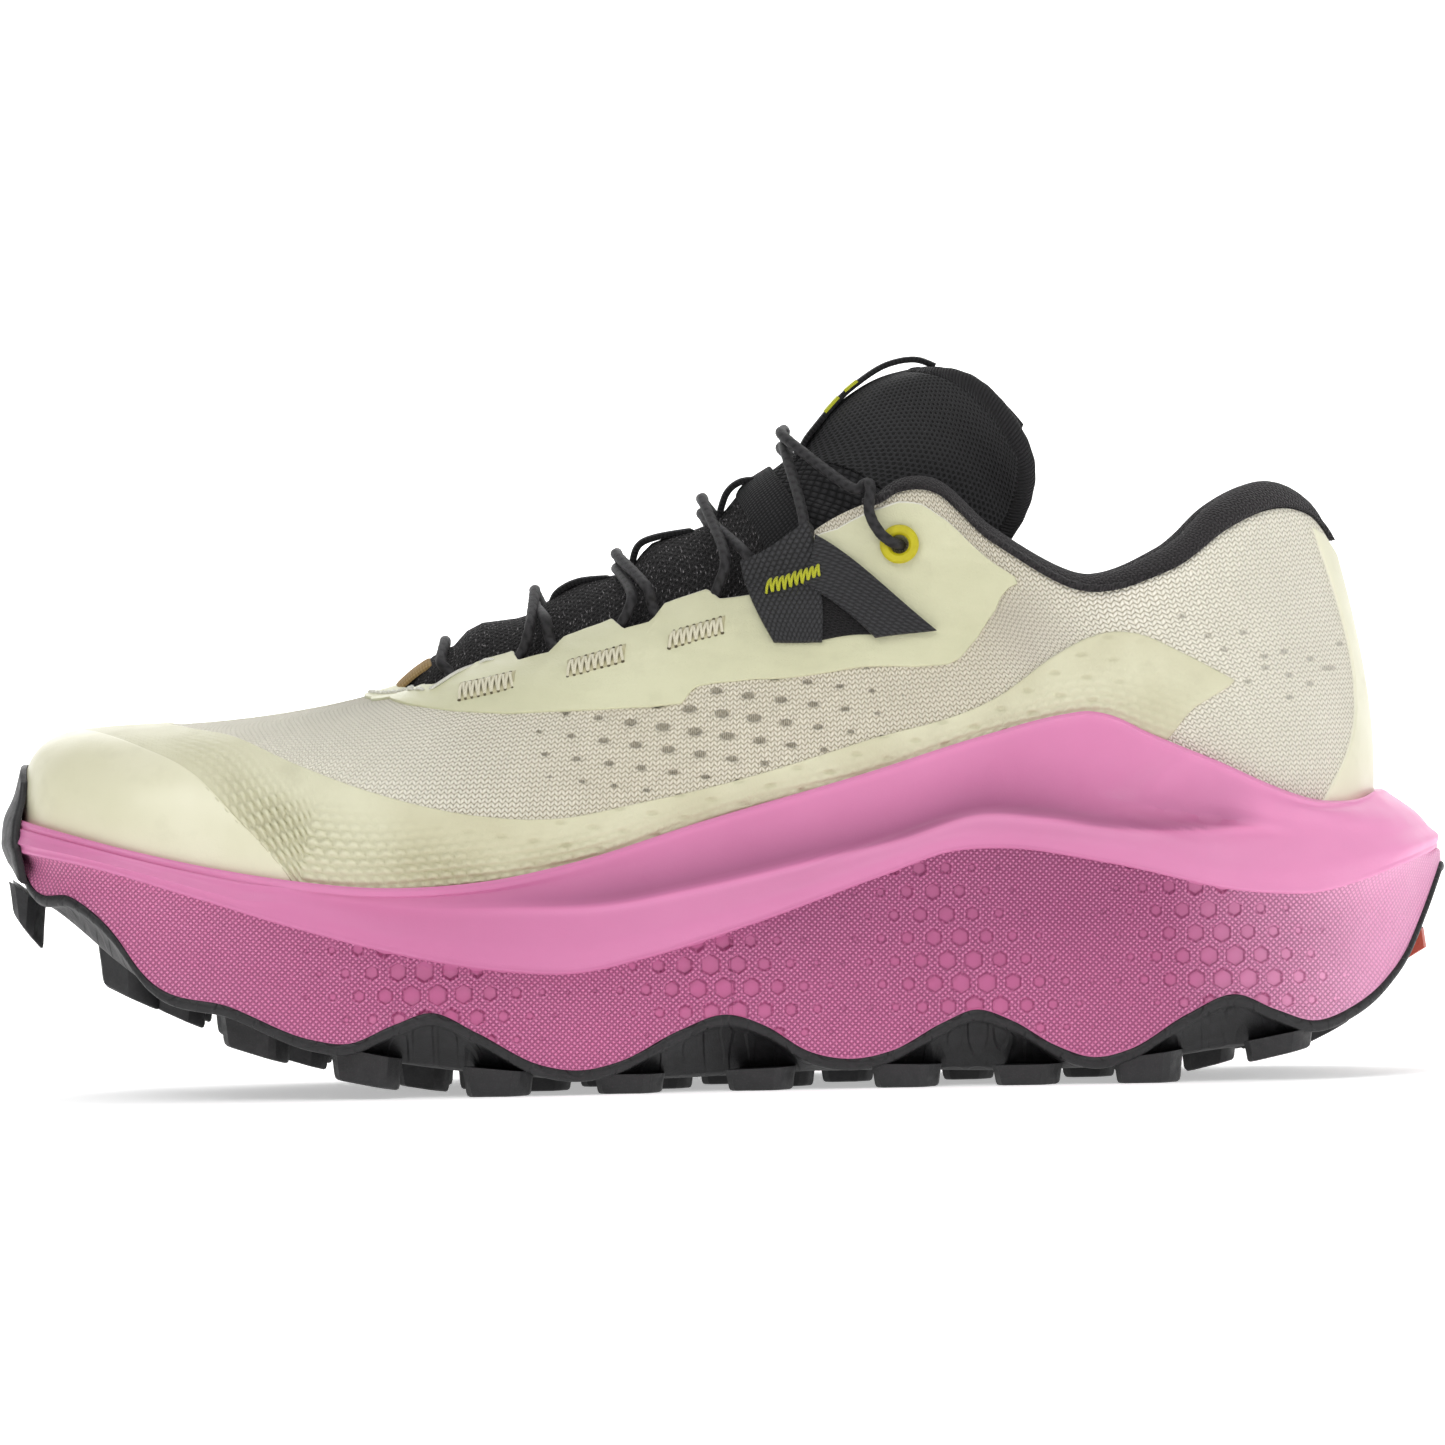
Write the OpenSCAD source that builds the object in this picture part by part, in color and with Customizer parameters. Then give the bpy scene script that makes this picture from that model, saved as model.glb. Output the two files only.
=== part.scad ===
// Right trail running shoe: toe towards -X, heel towards +X, medial side towards -Y, ground at Z = 0.
// Heights and outlines are station curves in millimetres, joined by smooth interpolation.

/* [Upper fabric] */
// Thickness of the knitted upper
knit_t = 1.6; // [1.2:0.1:1.8]
// Thickness of the bonded films
film_t = 0.6; // [0.4:0.1:0.8]
// Air gap kept between stacked layers
layer_gap = 0.45; // [0.4:0.05:0.5]
// Thickness of the collar padding
collar_foam_t = 4.2; // [3:0.2:5]

/* [Sole] */
// Thickness of the outsole rubber sheet
outsole_t = 2.2; // [1.6:0.1:2.6]
// Thickness of the insole foam
insole_t = 4; // [3:0.5:4.5]
// Width of a tread lug along the shoe
lug_l = 13; // [9:0.5:14]
// Width of a tread lug across the shoe
lug_w = 14; // [10:0.5:15]

/* [Lacing] */
// Diameter of the round lace cord
lace_d = 2.3; // [2:0.1:2.4]
// Outer diameter of the eyelet ring
ring_d = 7.8; // [7:0.2:8.4]
// Bore diameter of the eyelet ring
ring_bore = 3.8; // [3.4:0.2:4]
// Width of the cord lock
lock_w = 10; // [9:0.5:11]
// Length of the cord lock
lock_l = 13; // [12:0.5:14]
// Thickness of the cord lock
lock_h = 5.6; // [5.2:0.2:6]

/* [Side curves] */
// Upper lip of the midsole: [x, z]
lip_line = [[-145,57.5],[-133.2,54.3],[-117.2,50],[-101.1,46.3],[-85.1,43.5],[-69,41.8],
  [-56.9,41.8],[-44.8,42.9],[-28.7,46.2],[-4.4,53.4],[28,62.2],[52.3,69.4],[68.5,73.3],[73,73.8],
  [78,72.8],[84.5,69.6],[100.5,62.6],[108.5,58.8],[116.5,55.9],[124.5,55.1],[138,55]];
// Crease of the smooth band: [x, z]
crease_line = [[-85.1,40.3],[-61,37.2],[-40.9,36.8],[-24.8,36.9],[-4.6,40.1],[15.6,44.4],
  [35.8,48.8],[52,53.3],[64,51.9],[76,49.2],[92,48.1],[106,48.6],[128,49.4],[140,50.4]];
// Widest line of the midsole: [x, z]
rim_line = [[-145,50.9],[-125.3,47.1],[-105.3,41.1],[-85.3,34.7],[-65.2,29.2],[-45.2,25.4],
  [-29.1,24.5],[-14.9,27.3],[7.3,33.9],[31.6,42.4],[45.8,47],[55.9,47.4],[76,44.2],[106,37.8],
  [118,37.5],[126,39.2],[136,42.4],[145,45.3]];
// Waved lower edge of the midsole side: [x, z]
wave_line = [[-145,50],[-141,48.6],[-137.4,42.9],[-129.4,41],[-121.5,34.6],[-115,25.6],
  [-97.6,18.8],[-81.7,12.1],[-75,11.2],[-65.5,14.8],[-58,17],[-49.4,13],[-37,6.3],[-29,5],
  [-21,6.6],[-9.2,12.4],[0,15.3],[8,12.8],[16,7.8],[24,6],[33,7.5],[43.1,12.8],[49.5,15.2],
  [57,12.8],[65,8],[73,5.4],[80,6.9],[91.5,13.7],[101,17.4],[109,14.2],[117,11.8],[123.7,13.9],
  [131.8,19.7],[136,24.9],[140.2,33.3],[144,42]];
// Underside of the sole between the waves: [x, z]
belly_line = [[-145,49],[-130,38],[-118,28],[-97.6,18.2],[-76,11.2],[-52,7],[-29,5],[24,5.6],
  [73,5.4],[95,8],[117,11.8],[130,18],[140,33],[144,41]];
// Ground-side ends of the tread lugs: [x, z]
tread_line = [[-142,40],[-136.6,31.7],[-121.7,21.9],[-110,16.3],[-97.8,10.6],[-87.8,7.3],
  [-75.8,3.8],[-61.8,1.1],[-54,0],[-52,0],[30,0],[84,0],[86,0],[96,1.5],[107,4.3],[115.5,6.4],
  [124.6,11],[136,22.3],[145,42]];
// Top surface on which the foot bed is built: [x, z]
bed_line = [[-139.5,51],[-133,47.5],[-125,44],[-115,40.5],[-105,37],[-90,33.5],[-75,31.5],
  [-50,30.5],[-20,31],[10,32.5],[50,35],[90,37],[130,37.5]];
// Rear edge of the toe cap: [x, z]
cap_line = [[-131,73.5],[-126.4,73.3],[-114.8,69.9],[-103.8,64.2],[-95.9,56],[-84.1,42.7],[-80,36]];
// Upper edge of the lower bonded film: [x, z]
foxing_line = [[-115,74.2],[-97.6,72.2],[-84.6,66.5],[-68.6,60.5],[-48.6,55.7],[-32.5,54.8],
  [-16.4,57.5],[-0.2,60.8],[28.1,68.7],[56.5,77.8],[66.7,84],[73.8,87.5],[78.8,87.4],[86.8,83.6],
  [103.8,77.3]];
// Ridge of the gusset mesh in the throat: [x, z]
gusset_line = [[-70,76],[-66,77],[-62,79],[-58,83.3],[-50,88.6],[-40,92.4],[-30,97.2],
  [-20,101.6],[-12,105.4],[-6,108.8],[0,113.3],[8,120.3],[11,122.6]];
// Ridge of the tongue base: [x, z]
base_line = [[-72,72.4],[-62,76.6],[-50,84.6],[-40,88.4],[-30,92.6],[-20,96.2],[-12,98.4],
  [-6,99.8],[0,102.6],[6,106.6],[13,108.6]];

/* [Tread lugs] */
// Medial edge lugs: [x, y]
medial_lugs = [[-93,-37],[-71,-43],[-45,-41.5],[-19,-38.5],[7,-35.5],[36,-34],[60,-34.5],
  [84,-36],[110,-34]];
// Lateral edge lugs: [x, y]
lateral_lugs = [[-93,33],[-70,43],[-45,45.5],[-19,45],[7,42],[36,39],[60,37],[84,36],[110,32]];
// Toe and heel lugs: [x, y, added length, added width, turn]
end_lugs = [[-118,-22,-2,-2,-30],[-118,19,-2,-2,30],[-133,-9,-5,2,0],[-120,-1,-3,-3,0],
  [120,-14,-2,0,-10],[120,12,-2,0,10]];
// Pitch of the centre lugs along X
lug_pitch = 24.3;

/* [Rib stations, toe to heel] */
// Feather edge X, medial
foot_x_medial = [-139.5,-138,-132.5,-119,-99,-80,-60,-38,-14,10,30,48,64,80,95,107,116.5,124,
  127.5,128.5];
// Feather edge X, lateral
foot_x_lateral = [-139.5,-138,-133,-121.5,-104,-83,-60,-38,-14,10,30,48,64,80,95,107,116.5,124,
  127.5,128.5];
// Feather edge Y, medial
foot_y_medial = [-9,-20,-30.5,-39.5,-44,-45.5,-45.5,-43,-38.5,-34.5,-32,-31,-31,-32,-32.5,-31.5,
  -27,-18.5,-9,0];
// Feather edge Y, lateral
foot_y_lateral = [-9,2,14,27,37,43.8,47.5,48.5,47,44,41,38.5,37,36,34.5,32,27,18.5,9,0];
// Opening edge X
open_x = [-64,-63.8,-62.2,-60,-56.5,-51,-40,-24,-6,9,21,32,43,55,73,90,102,112,119.5,123.5];
// Opening edge Y, medial
open_y_medial = [-1.5,-4,-7,-9.5,-12,-14.5,-17,-19.5,-22,-24,-26,-28,-29,-30.5,-31,-28.5,-23,
  -15.5,-8,0];
// Opening edge Y, lateral
open_y_lateral = [-1.5,1,4.5,7.5,10.5,13.5,17,20,23,25.5,27.5,29,30,31,31,28.5,23,15.5,8,0];
// Opening edge Z
open_z = [81.2,81,80.6,80.6,82,84.8,88,93,98.6,103,112,116.7,118.3,108.3,98.3,101.5,109.5,
  113.5,112,107];
// Rib rise above the feather edge
rib_rise = [33,32,30,27,24,22,22,22,22,22,22,22,22,20,18,18,20,22,23,23];
// Rib bulge outwards
rib_bulge = [2,2.5,3,4,4.5,5,5,5,6,6,6,5,4,3,2.5,2.5,2.5,3,3.5,4];
// Rib middle, share of the way in
rib_mid_in = [.15,.15,.15,.14,.12,.10,.08,.06,.04,.02,0,0,0,0,0,0,0,0,0,0];
// Rib middle, share of the height
rib_mid_up = [.66,.68,.70,.72,.72,.72,.70,.66,.62,.58,.55,.52,.5,.5,.5,.5,.5,.5,.5,.5];
// Rib end handle length
rib_handle = [32,31,28,24,20,18,18,18,20,22,24,26,26,20,16,16,18,20,22,22];
// Rib end handle slope, degrees
rib_slope = [15,15,14,12,14,18,24,32,42,54,66,74,78,84,90,88,84,80,76,75];
// Midsole rim width beyond the feather edge, medial
rim_medial = [3.2,3.6,4.4,5.3,5.5,5.5,6,6.5,7,8,9,9.5,10,11,12,12.5,13,13.5,14.5,16];
// Midsole rim width beyond the feather edge, lateral
rim_lateral = [3.2,3.8,5.2,7,8.4,9,9.5,9,9,9,9.5,10,10.5,11,12,12.5,13,13.5,14.5,16];
// Extra ledge of the lip outside the upper
ledge = [0,0,0,0,0,0,0,0,0,0,0,0,0,0,.2,.8,1.8,3,4.6,5.8];
// Collar edge height above the opening edge, from the eyestay to the heel
collar_rise = [0.5,2.6,2.6,2.4,3,4.4,5.6,5.8,4.4,3];

/* [Hidden] */
midline = -2;     // Y of the middle of the shoe
half_count = 40;  // points on each side of a loop around the shoe

// ---- interpolation ----
function lerp(a,b,t) = a+(b-a)*t;
function unit(v) = v/norm(v);
// index of the table span that holds x
function span(table,x,low,high) = high-low<=1 ? low : let(mid=floor((low+high)/2))
  (table[mid][0]<=x ? span(table,x,mid,high) : span(table,x,low,mid));
function chord(table,i) = (table[i+1][1]-table[i][1])/(table[i+1][0]-table[i][0]);
function slope(table,i) = let(last=len(table)-1)
  i<=0 ? chord(table,0) : i>=last ? chord(table,last-1) :
  let(before=table[i][0]-table[i-1][0], after=table[i+1][0]-table[i][0])
  (chord(table,i-1)*after+chord(table,i)*before)/(before+after);
// smooth value at x of a table of [x, value], held constant past its ends
function along(table,x) = let(last=len(table)-1, xc=min(max(x,table[0][0]),table[last][0]),
    i=span(table,xc,0,last), h=table[i+1][0]-table[i][0], t=(xc-table[i][0])/h)
  table[i][1]*(2*t*t*t-3*t*t+1)+slope(table,i)*h*(t*t*t-2*t*t+t)
  +table[i+1][1]*(3*t*t-2*t*t*t)+slope(table,i+1)*h*(t*t*t-t*t);
function catmull(a,b,c,d,t) = .5*(2*b+(c-a)*t+(2*a-5*b+4*c-d)*t*t+(3*b-a-3*c+d)*t*t*t);
// list item, mirrored past the ends; odd also turns the mirrored value about the end value
function pick(list,j,odd) = let(last=len(list)-1)
  j<0 ? (odd ? 2*list[0]-list[-j] : list[-j]) :
  j>last ? (odd ? 2*list[last]-list[2*last-j] : list[2*last-j]) : list[j];
// smooth value of a station list at a fractional station
function at_station(list,k,odd=false) = let(last=len(list)-1, kc=min(max(k,0),last),
    i=min(floor(kc),last-1))
  catmull(pick(list,i-1,odd),list[i],list[i+1],pick(list,i+2,odd),kc-i);
// point with the height of a side curve
function on_line(p,line,dz=0) = [p.x,p.y,along(line,p.x)+dz];
function raise(points,dz) = [for(p=points) p+[0,0,dz]];

// ---- ribs of the upper ----
// u runs around the shoe: 0 at the toe, negative medial, positive lateral, +-heel at the heel
heel = len(foot_x_medial)-1;
function wrap(u) = u>heel ? u-2*heel : u<-heel ? u+2*heel : u;
function station(u) = abs(wrap(u));
function foot(u) = let(k=station(u), medial=wrap(u)<0)
  on_line([at_station(medial?foot_x_medial:foot_x_lateral,k),
    at_station(medial?foot_y_medial:foot_y_lateral,k,true)+midline],bed_line);
function edge(u) = let(k=station(u)) [at_station(open_x,k),
  at_station(wrap(u)<0?open_y_medial:open_y_lateral,k,true)+midline, at_station(open_z,k)];
// outward horizontal direction of the feather edge
function outward(u) = let(t=foot(u+.05)-foot(u-.05)) unit([-t.y,t.x,0]);
// five Bezier control points of a rib, from the feather edge to the opening edge
function controls(u) = let(k=station(u), start=foot(u), end=edge(u),
    across=[end.x-start.x,end.y-start.y,0],
    angle=at_station(rib_slope,k), bulge=outward(u)*at_station(rib_bulge,k))
  [start, start+[0,0,at_station(rib_rise,k)]+bulge,
   start+across*at_station(rib_mid_in,k)+[0,0,at_station(rib_mid_up,k)*(end.z-start.z)]+bulge*.6,
   end-at_station(rib_handle,k)*(unit(across)*cos(angle)+[0,0,sin(angle)]), end];
function bezier(C,v) = let(w=1-v)
  C[0]*w*w*w*w+C[1]*(4*v*w*w*w)+C[2]*(6*v*v*w*w)+C[3]*(4*v*v*v*w)+C[4]*(v*v*v*v);
// a rib between its two close neighbours, which give the surface direction
function rib(u) = [controls(u-.06), controls(u), controls(u+.06)];
// point of the upper at height fraction v on a rib, off mm outside it
function skin(ribs,v,off=0) = let(p=bezier(ribs[1],v)) off==0 ? p :
  let(dv=bezier(ribs[1],min(v+.01,1.005))-bezier(ribs[1],v-.01),
    du=bezier(ribs[2],v)-bezier(ribs[0],v)) p+off*unit(cross(dv,du));
// height fraction on a rib at which the side view meets a line, by halving
function meet(ribs,line,a=0,b=1,n=11) = let(m=(a+b)/2, p=bezier(ribs[1],m)) n==0 ? m :
  (p.z<along(line,p.x) ? meet(ribs,line,m,b,n-1) : meet(ribs,line,a,m,n-1));

// ---- solids from points ----
// solid between an outer and an inner grid of points
module between(outer,inner,closed=false,flip=false) {
  n=len(outer);
  m=len(outer[0]);
  o=n*m;       // first inner point
  e=(n-1)*m;   // first point of the last row
  faces=[
    for(i=[0:closed?n-1:n-2]) let(a=i*m, b=((i+1)%n)*m) each [
      for(j=[0:m-2]) each [[a+j,b+j,a+j+1],[b+j,b+j+1,a+j+1],
        [o+a+j,o+a+j+1,o+b+j],[o+b+j,o+a+j+1,o+b+j+1]],
      [a,o+a,b],[b,o+a,o+b],
      [a+m-1,b+m-1,o+a+m-1],[b+m-1,o+b+m-1,o+a+m-1]],
    if(!closed) each [for(j=[0:m-2]) each [[j,j+1,o+j],[j+1,o+j+1,o+j],
      [e+j,o+e+j,e+j+1],[e+j+1,o+e+j,o+e+j+1]]]];
  polyhedron(points=[for(row=concat(outer,inner)) each row],
    faces=flip ? [for(f=faces) [f[2],f[1],f[0]]] : faces, convexity=8);
}
// solid from stacked loops, each end closed on a spine; from loop alt on, quads split the other way
module stack(loops,spine0,spine1,alt=99) {
  n=len(loops[0]);
  r=len(loops);
  s0=n*r;
  s1=s0+n/2+1;
  faces=[for(i=[0:n-1]) let(i2=(i+1)%n, a=min(i,n-i), b=min(i2,n-i2), e=(r-1)*n) each [
    [s0+a,s0+b,i],[s0+b,i2,i],
    for(k=[0:r-2]) let(p=k*n, q=p+n) each k<alt
      ? [[p+i,p+i2,q+i],[p+i2,q+i2,q+i]]
      : [[p+i,p+i2,q+i2],[p+i,q+i2,q+i]],
    each alt<r ? [[e+i,e+i2,s1+b],[e+i,s1+b,s1+a]] : [[e+i,e+i2,s1+a],[e+i2,s1+b,s1+a]]]];
  polyhedron(points=concat([for(row=loops) each row],spine0,spine1), faces=faces, convexity=8);
}
// patch of a layer over the upper; place(a,b) gives [u, height fraction]
module patch(place,na,nb,off_in,off_out) {
  grid=[for(i=[0:na]) [for(j=[0:nb]) place(i/na,j/nb)]];
  between([for(row=grid) [for(c=row) skin(rib(c[0]),c[1],off_out)]],
    [for(row=grid) [for(c=row) skin(rib(c[0]),c[1],off_in)]]);
}
// patch given for the lateral side; side is -1 for medial, 1 for lateral
module side_patch(side,shape,na,nb,off_in,off_out)
  patch(function(a,b) let(c=shape(side>0?a:1-a,b)) [side*c[0],c[1]],na,nb,off_in,off_out);
// band of a layer whose limits are height fractions found on each rib
module band(u0,u1,n,low,high,nb,off_in,off_out) {
  U=[for(i=[0:n]) lerp(u0,u1,i/n)];
  R=[for(u=U) rib(u)];
  V=[for(i=[0:n]) let(a=low(R[i],U[i])) [a,max(a+.012,high(R[i],U[i]))]];
  rows=function(off) [for(i=[0:n]) [for(j=[0:nb]) skin(R[i],lerp(V[i][0],V[i][1],j/nb),off)]];
  between(rows(off_out),rows(off_in));
}
// round cord along a path
function smooth(path,k) = let(last=len(path)-1) [for(s=[0:last*k])
  let(t=s/k, i=min(floor(t),last-1))
  catmull(path[max(i-1,0)],path[i],path[i+1],path[min(i+2,last)],t-i)];
function tangent(path,i) = unit(path[min(i+1,len(path)-1)]-path[max(i-1,0)]);
function frames(path,i,normal,done) = i>=len(path) ? done :
  let(t=tangent(path,i), m=unit(normal-t*(normal*t)))
  frames(path,i+1,m,concat(done,[[m,cross(t,m)]]));
module cord(path,r,sides) {
  n=len(path);
  F=frames(path,0,abs(tangent(path,0).z)>.8?[1,0,0]:[0,0,1],[]);
  ring=[for(i=[0:n-1]) for(j=[0:sides-1]) let(a=360*j/sides)
    path[i]+r*(cos(a)*F[i][0]+sin(a)*F[i][1])];
  faces=[
    for(i=[0:n-2]) for(j=[0:sides-1]) let(k=(j+1)%sides, p=i*sides, q=p+sides)
      each [[p+j,q+j,p+k],[p+k,q+j,q+k]],
    for(j=[0:sides-1]) let(k=(j+1)%sides, e=(n-1)*sides)
      each [[n*sides,j,k],[n*sides+1,e+k,e+j]]];
  polyhedron(points=concat(ring,[path[0],path[n-1]]), faces=faces, convexity=10);
}

// ---- loops around the sole, from the heel along the medial side to the toe and back ----
loop_i = [0:2*half_count-1];
loop_u = [for(i=loop_i) -heel+2*heel*i/(2*half_count)];
function rim_width(u) = at_station(wrap(u)<0?rim_medial:rim_lateral,station(u));
// point out_by mm outside the feather edge, at the height of a side curve
function plan_point(u,out_by,line,dz=0) = on_line(foot(u)+outward(u)*out_by,line,dz);
function foot_loop(out_by,line,dz=0) = [for(u=loop_u) plan_point(u,out_by,line,dz)];
function rim_loop(inset,line,dz=0) = [for(u=loop_u) plan_point(u,rim_width(u)-inset,line,dz)];
function spine(loop,line,dz=0) = [for(j=[0:half_count])
  let(p=(loop[j]+loop[(2*half_count-j)%(2*half_count)])/2) on_line([p.x*.9,p.y],line,dz)];
// loop shrunk by a share of the way to its spine
function shrink(loop,share,line,dz=0) = let(mid=spine(loop,line)) [for(i=loop_i)
  on_line(lerp(loop[i],mid[min(i,2*half_count-i)],share),line,dz)];

// ---- sole ----
hem_inset = 1.8;   // lower edge of the midsole side, inside the rim
hem_share = .28;   // way from the hem to the spine where the underside levels out
hem = rim_loop(hem_inset,wave_line);
hem_spine = spine(hem,belly_line);
// crease between a rim point and a lip point
function crease_point(rim,lip,push) = let(p=lerp(rim,lip,.42))
  [p.x,p.y,max(along(crease_line,p.x),lerp(rim.z,lip.z,.35))]+push;
module midsole() {
  R=[for(u=loop_u) rib(u)];
  V=[for(r=R) meet(r,lip_line)];
  rim=rim_loop(0,rim_line);
  low=rim_loop(4.6,wave_line);
  high=rim_loop(3.4,rim_line);
  wall_low=[for(i=loop_i) [low[i].x,low[i].y,lerp(hem[i].z,rim[i].z,.4)]];
  wall_high=[for(i=loop_i) [high[i].x,high[i].y,rim[i].z-min(2.2,(rim[i].z-hem[i].z)*.2)]];
  lip_out=[for(i=loop_i)
    on_line(skin(R[i],V[i],2.6+at_station(ledge,abs(loop_u[i]))),lip_line,-.3)];
  lip_top=[for(i=loop_i) on_line(skin(R[i],V[i],1.4),lip_line,.1)];
  lip_in=[for(i=loop_i) skin(R[i],V[i]-.012,1.3)];
  cup=[for(i=loop_i) skin(R[i],V[i]*.5,1.3)];
  bed=foot_loop(.9,bed_line,-.4);
  crease=[for(i=loop_i) crease_point(rim[i],lip_out[i],outward(loop_u[i])*.8)];
  color("hotpink") stack([shrink(hem,hem_share,belly_line),hem,wall_low,wall_high,rim,crease,
    lip_out,lip_top,lip_in,cup,bed],hem_spine,spine(bed,bed_line,-.4));
}

// rotation about Y that follows a side curve
function tilt(line,x) = -atan((along(line,x+3)-along(line,x-3))/6);
// chevron lug, narrower at the ground
module lug(x,y,l,w,turn=0) {
  ground=along(tread_line,x);
  root=max(along(belly_line,x)-1.7,ground+1.9);
  hull() {
    translate([x,y,ground]) rotate([0,tilt(tread_line,x),0]) rotate([0,0,turn])
      linear_extrude(.3) polygon([[-l/2+1,-w/2+.8],[l/2-3,-w/2+.8],[l/2-.6,0],
        [l/2-3,w/2-.8],[-l/2+1,w/2-.8],[-l/2+2.6,0]]);
    translate([x,y,root]) rotate([0,tilt(belly_line,x),0]) rotate([0,0,turn])
      linear_extrude(.3) polygon([[-l/2,-w/2],[l/2-2,-w/2],[l/2,0],
        [l/2-2,w/2],[-l/2,w/2],[-l/2,0]]);
  }
}
// bumper rising over the front of the midsole
module toe_bumper() {
  n=8;
  thickness=[1.6,1.6,1.6,1.6,2.2,1.2];
  U=[for(i=[0:n]) lerp(-1.5,1.5,i/n)];
  inner=[for(u=U) let(R=rib(u), v=meet(R,lip_line), width=rim_width(u),
      rim=plan_point(u,width+.25,rim_line), lip=on_line(skin(R,v,2.95),lip_line,-.2))
    [plan_point(u,width-1.5,wave_line,-1.5),rim,crease_point(rim,lip,outward(u)),lip,
     skin(R,v+.05,1.5),skin(R,v+.13-.02*u*u,1.5)]];
  outer=[for(i=[0:n]) [for(j=[0:5]) inner[i][j]+outward(U[i])*thickness[j]]];
  between(outer,inner);
}
module outsole() {
  gap=.15;          // between the rubber and the midsole
  edge_inset=1.3;   // inside the rim
  drop=outsole_t+.1;
  color([.12,.12,.13]) {
    stack([shrink(hem,hem_share,belly_line,-drop),rim_loop(edge_inset,wave_line,-outsole_t),
      rim_loop(edge_inset,wave_line,-gap),raise(hem,-gap),
      shrink(hem,hem_share,belly_line,-gap)],raise(hem_spine,-drop),raise(hem_spine,-gap),alt=3);
    toe_bumper();
    for(p=medial_lugs) lug(p.x,p.y,lug_l,lug_w,-8);
    for(p=lateral_lugs) lug(p.x,p.y,lug_l,lug_w,8);
    // three centre rows, the middle one on Y = 0
    for(i=[-4:4]) lug(lug_pitch*i,0,lug_l-2,lug_w-2);
    for(i=[-4:4]) for(y=[-16,19]) lug(lug_pitch*i-12.1,midline+y,lug_l-2,lug_w-2);
    for(p=end_lugs) lug(p[0],p[1],lug_l+p[2],lug_w+p[3],p[4]);
  }
}
// strip standing proud of the midsole wall at the back of the heel
module heel_insert() {
  n=6;
  row=function(u,proud) let(width=rim_width(u),
      low=plan_point(u,width-hem_inset,wave_line).z, high=plan_point(u,width,rim_line).z)
    [for(t=[.12,.3,.5]) let(p=foot(u)+outward(u)*(width-1.4-abs(t-.12)*1.2+proud))
      [p.x,p.y,lerp(low,high,t)]];
  U=[for(i=[0:n]) 18.35+1.5*i/n];
  color([.78,.33,.24]) between([for(u=U) row(u,1.45)],[for(u=U) row(u,.35)]);
}

// ---- foot bed ----
board_t = 1.3;
insole_z = 1.7;    // heights above the bed line
insole_top = insole_z+insole_t;
cover_z = insole_top+layer_gap;
cover_t = .6;
insole_lip = .6;   // raised edge of the foam and its cover
dish_share = .2;   // way from the edge to the spine where the dish starts
module strobel_board() {
  L=foot_loop(-2.1,bed_line);
  color("wheat") stack([L,raise(L,board_t)],spine(L,bed_line),spine(L,bed_line,board_t));
}
module insole_foam() {
  bottom=foot_loop(-4.2,bed_line,insole_z);
  top=foot_loop(-4.6,bed_line,insole_top);
  color("dimgray") stack([bottom,raise(top,insole_lip),shrink(top,dish_share,bed_line,insole_top)],
    spine(bottom,bed_line,insole_z),spine(top,bed_line,insole_top));
}
module insole_cover() {
  rim=foot_loop(-4.6,bed_line,cover_z+insole_lip);
  dish=shrink(rim,dish_share,bed_line,cover_z);
  color("black") stack([dish,rim,raise(rim,cover_t),raise(dish,cover_t)],
    spine(rim,bed_line,cover_z),spine(rim,bed_line,cover_z+cover_t));
}

// ---- upper ----
film_in = layer_gap;             // offsets from the knit surface
film_out = film_in+film_t;
trim_in = film_out+layer_gap;
strap_t = 1;
tack_t = .6;
ring_station = 11.15;
ring_height = .9;
// frame of an eyelet ring, Z out of the upper
module at_ring(side) {
  R=rib(side*ring_station);
  p=skin(R,ring_height);
  z=unit(skin(R,ring_height,1)-p);
  translate(p) rotate([0,acos(z.z),atan2(z.y,z.x)]) children();
}
module ring_holes() for(side=[-1,1])
  at_ring(side) translate([0,0,-4]) cylinder(r=ring_bore/2+1.1,h=8,$fn=32);
module upper_knit() {
  R=[for(u=loop_u) rib(u)];
  rows=function(off) [for(r=R) [for(j=[0:10]) skin(r,j/10,off)]];
  color([.84,.82,.72]) difference() {
    between(rows(0),rows(-knit_t),closed=true);
    ring_holes();
  }
}
// lower film limit, tucked behind the midsole lip
tuck = function(R,u) max(.02,meet(R,lip_line)-.035);
module toe_cap() color([.9,.9,.78])
  band(-4.7,4.7,32,tuck,function(R,u) meet(R,cap_line),6,film_in,film_out);
module foxing_film(side) {
  low=function(R,u) abs(u)<6 ? max(meet(R,cap_line)+.016,tuck(R,u)) : tuck(R,u);
  color([.83,.81,.68]) band(side<0?-15.6:1.9,side<0?-1.9:15.6,36,low,
    function(R,u) meet(R,foxing_line),6,film_in,film_out);
}
module foxing_film_medial() foxing_film(-1);
module foxing_film_lateral() foxing_film(1);
// eyestay film, horseshoe around the throat: [station, height fraction]
eyestay_low = [[0,.945],[2,.93],[4,.86],[6,.68],[7.9,.612],[8.1,.61],[8.35,.655],[8.5,.66],
  [10,.60],[11.2,.596],[11.35,.60],[11.6,.64],[13.25,.915]];
eyestay_high = [[0,.995],[10,.995],[10.4,.995],[10.9,.975],[13.25,.94]];
module eyestay_film() color([.87,.86,.74]) difference() {
  band(-13.2,13.2,56,function(R,u) along(eyestay_low,abs(u)),
    function(R,u) along(eyestay_high,abs(u)),4,film_in,film_out);
  ring_holes();
}
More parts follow.
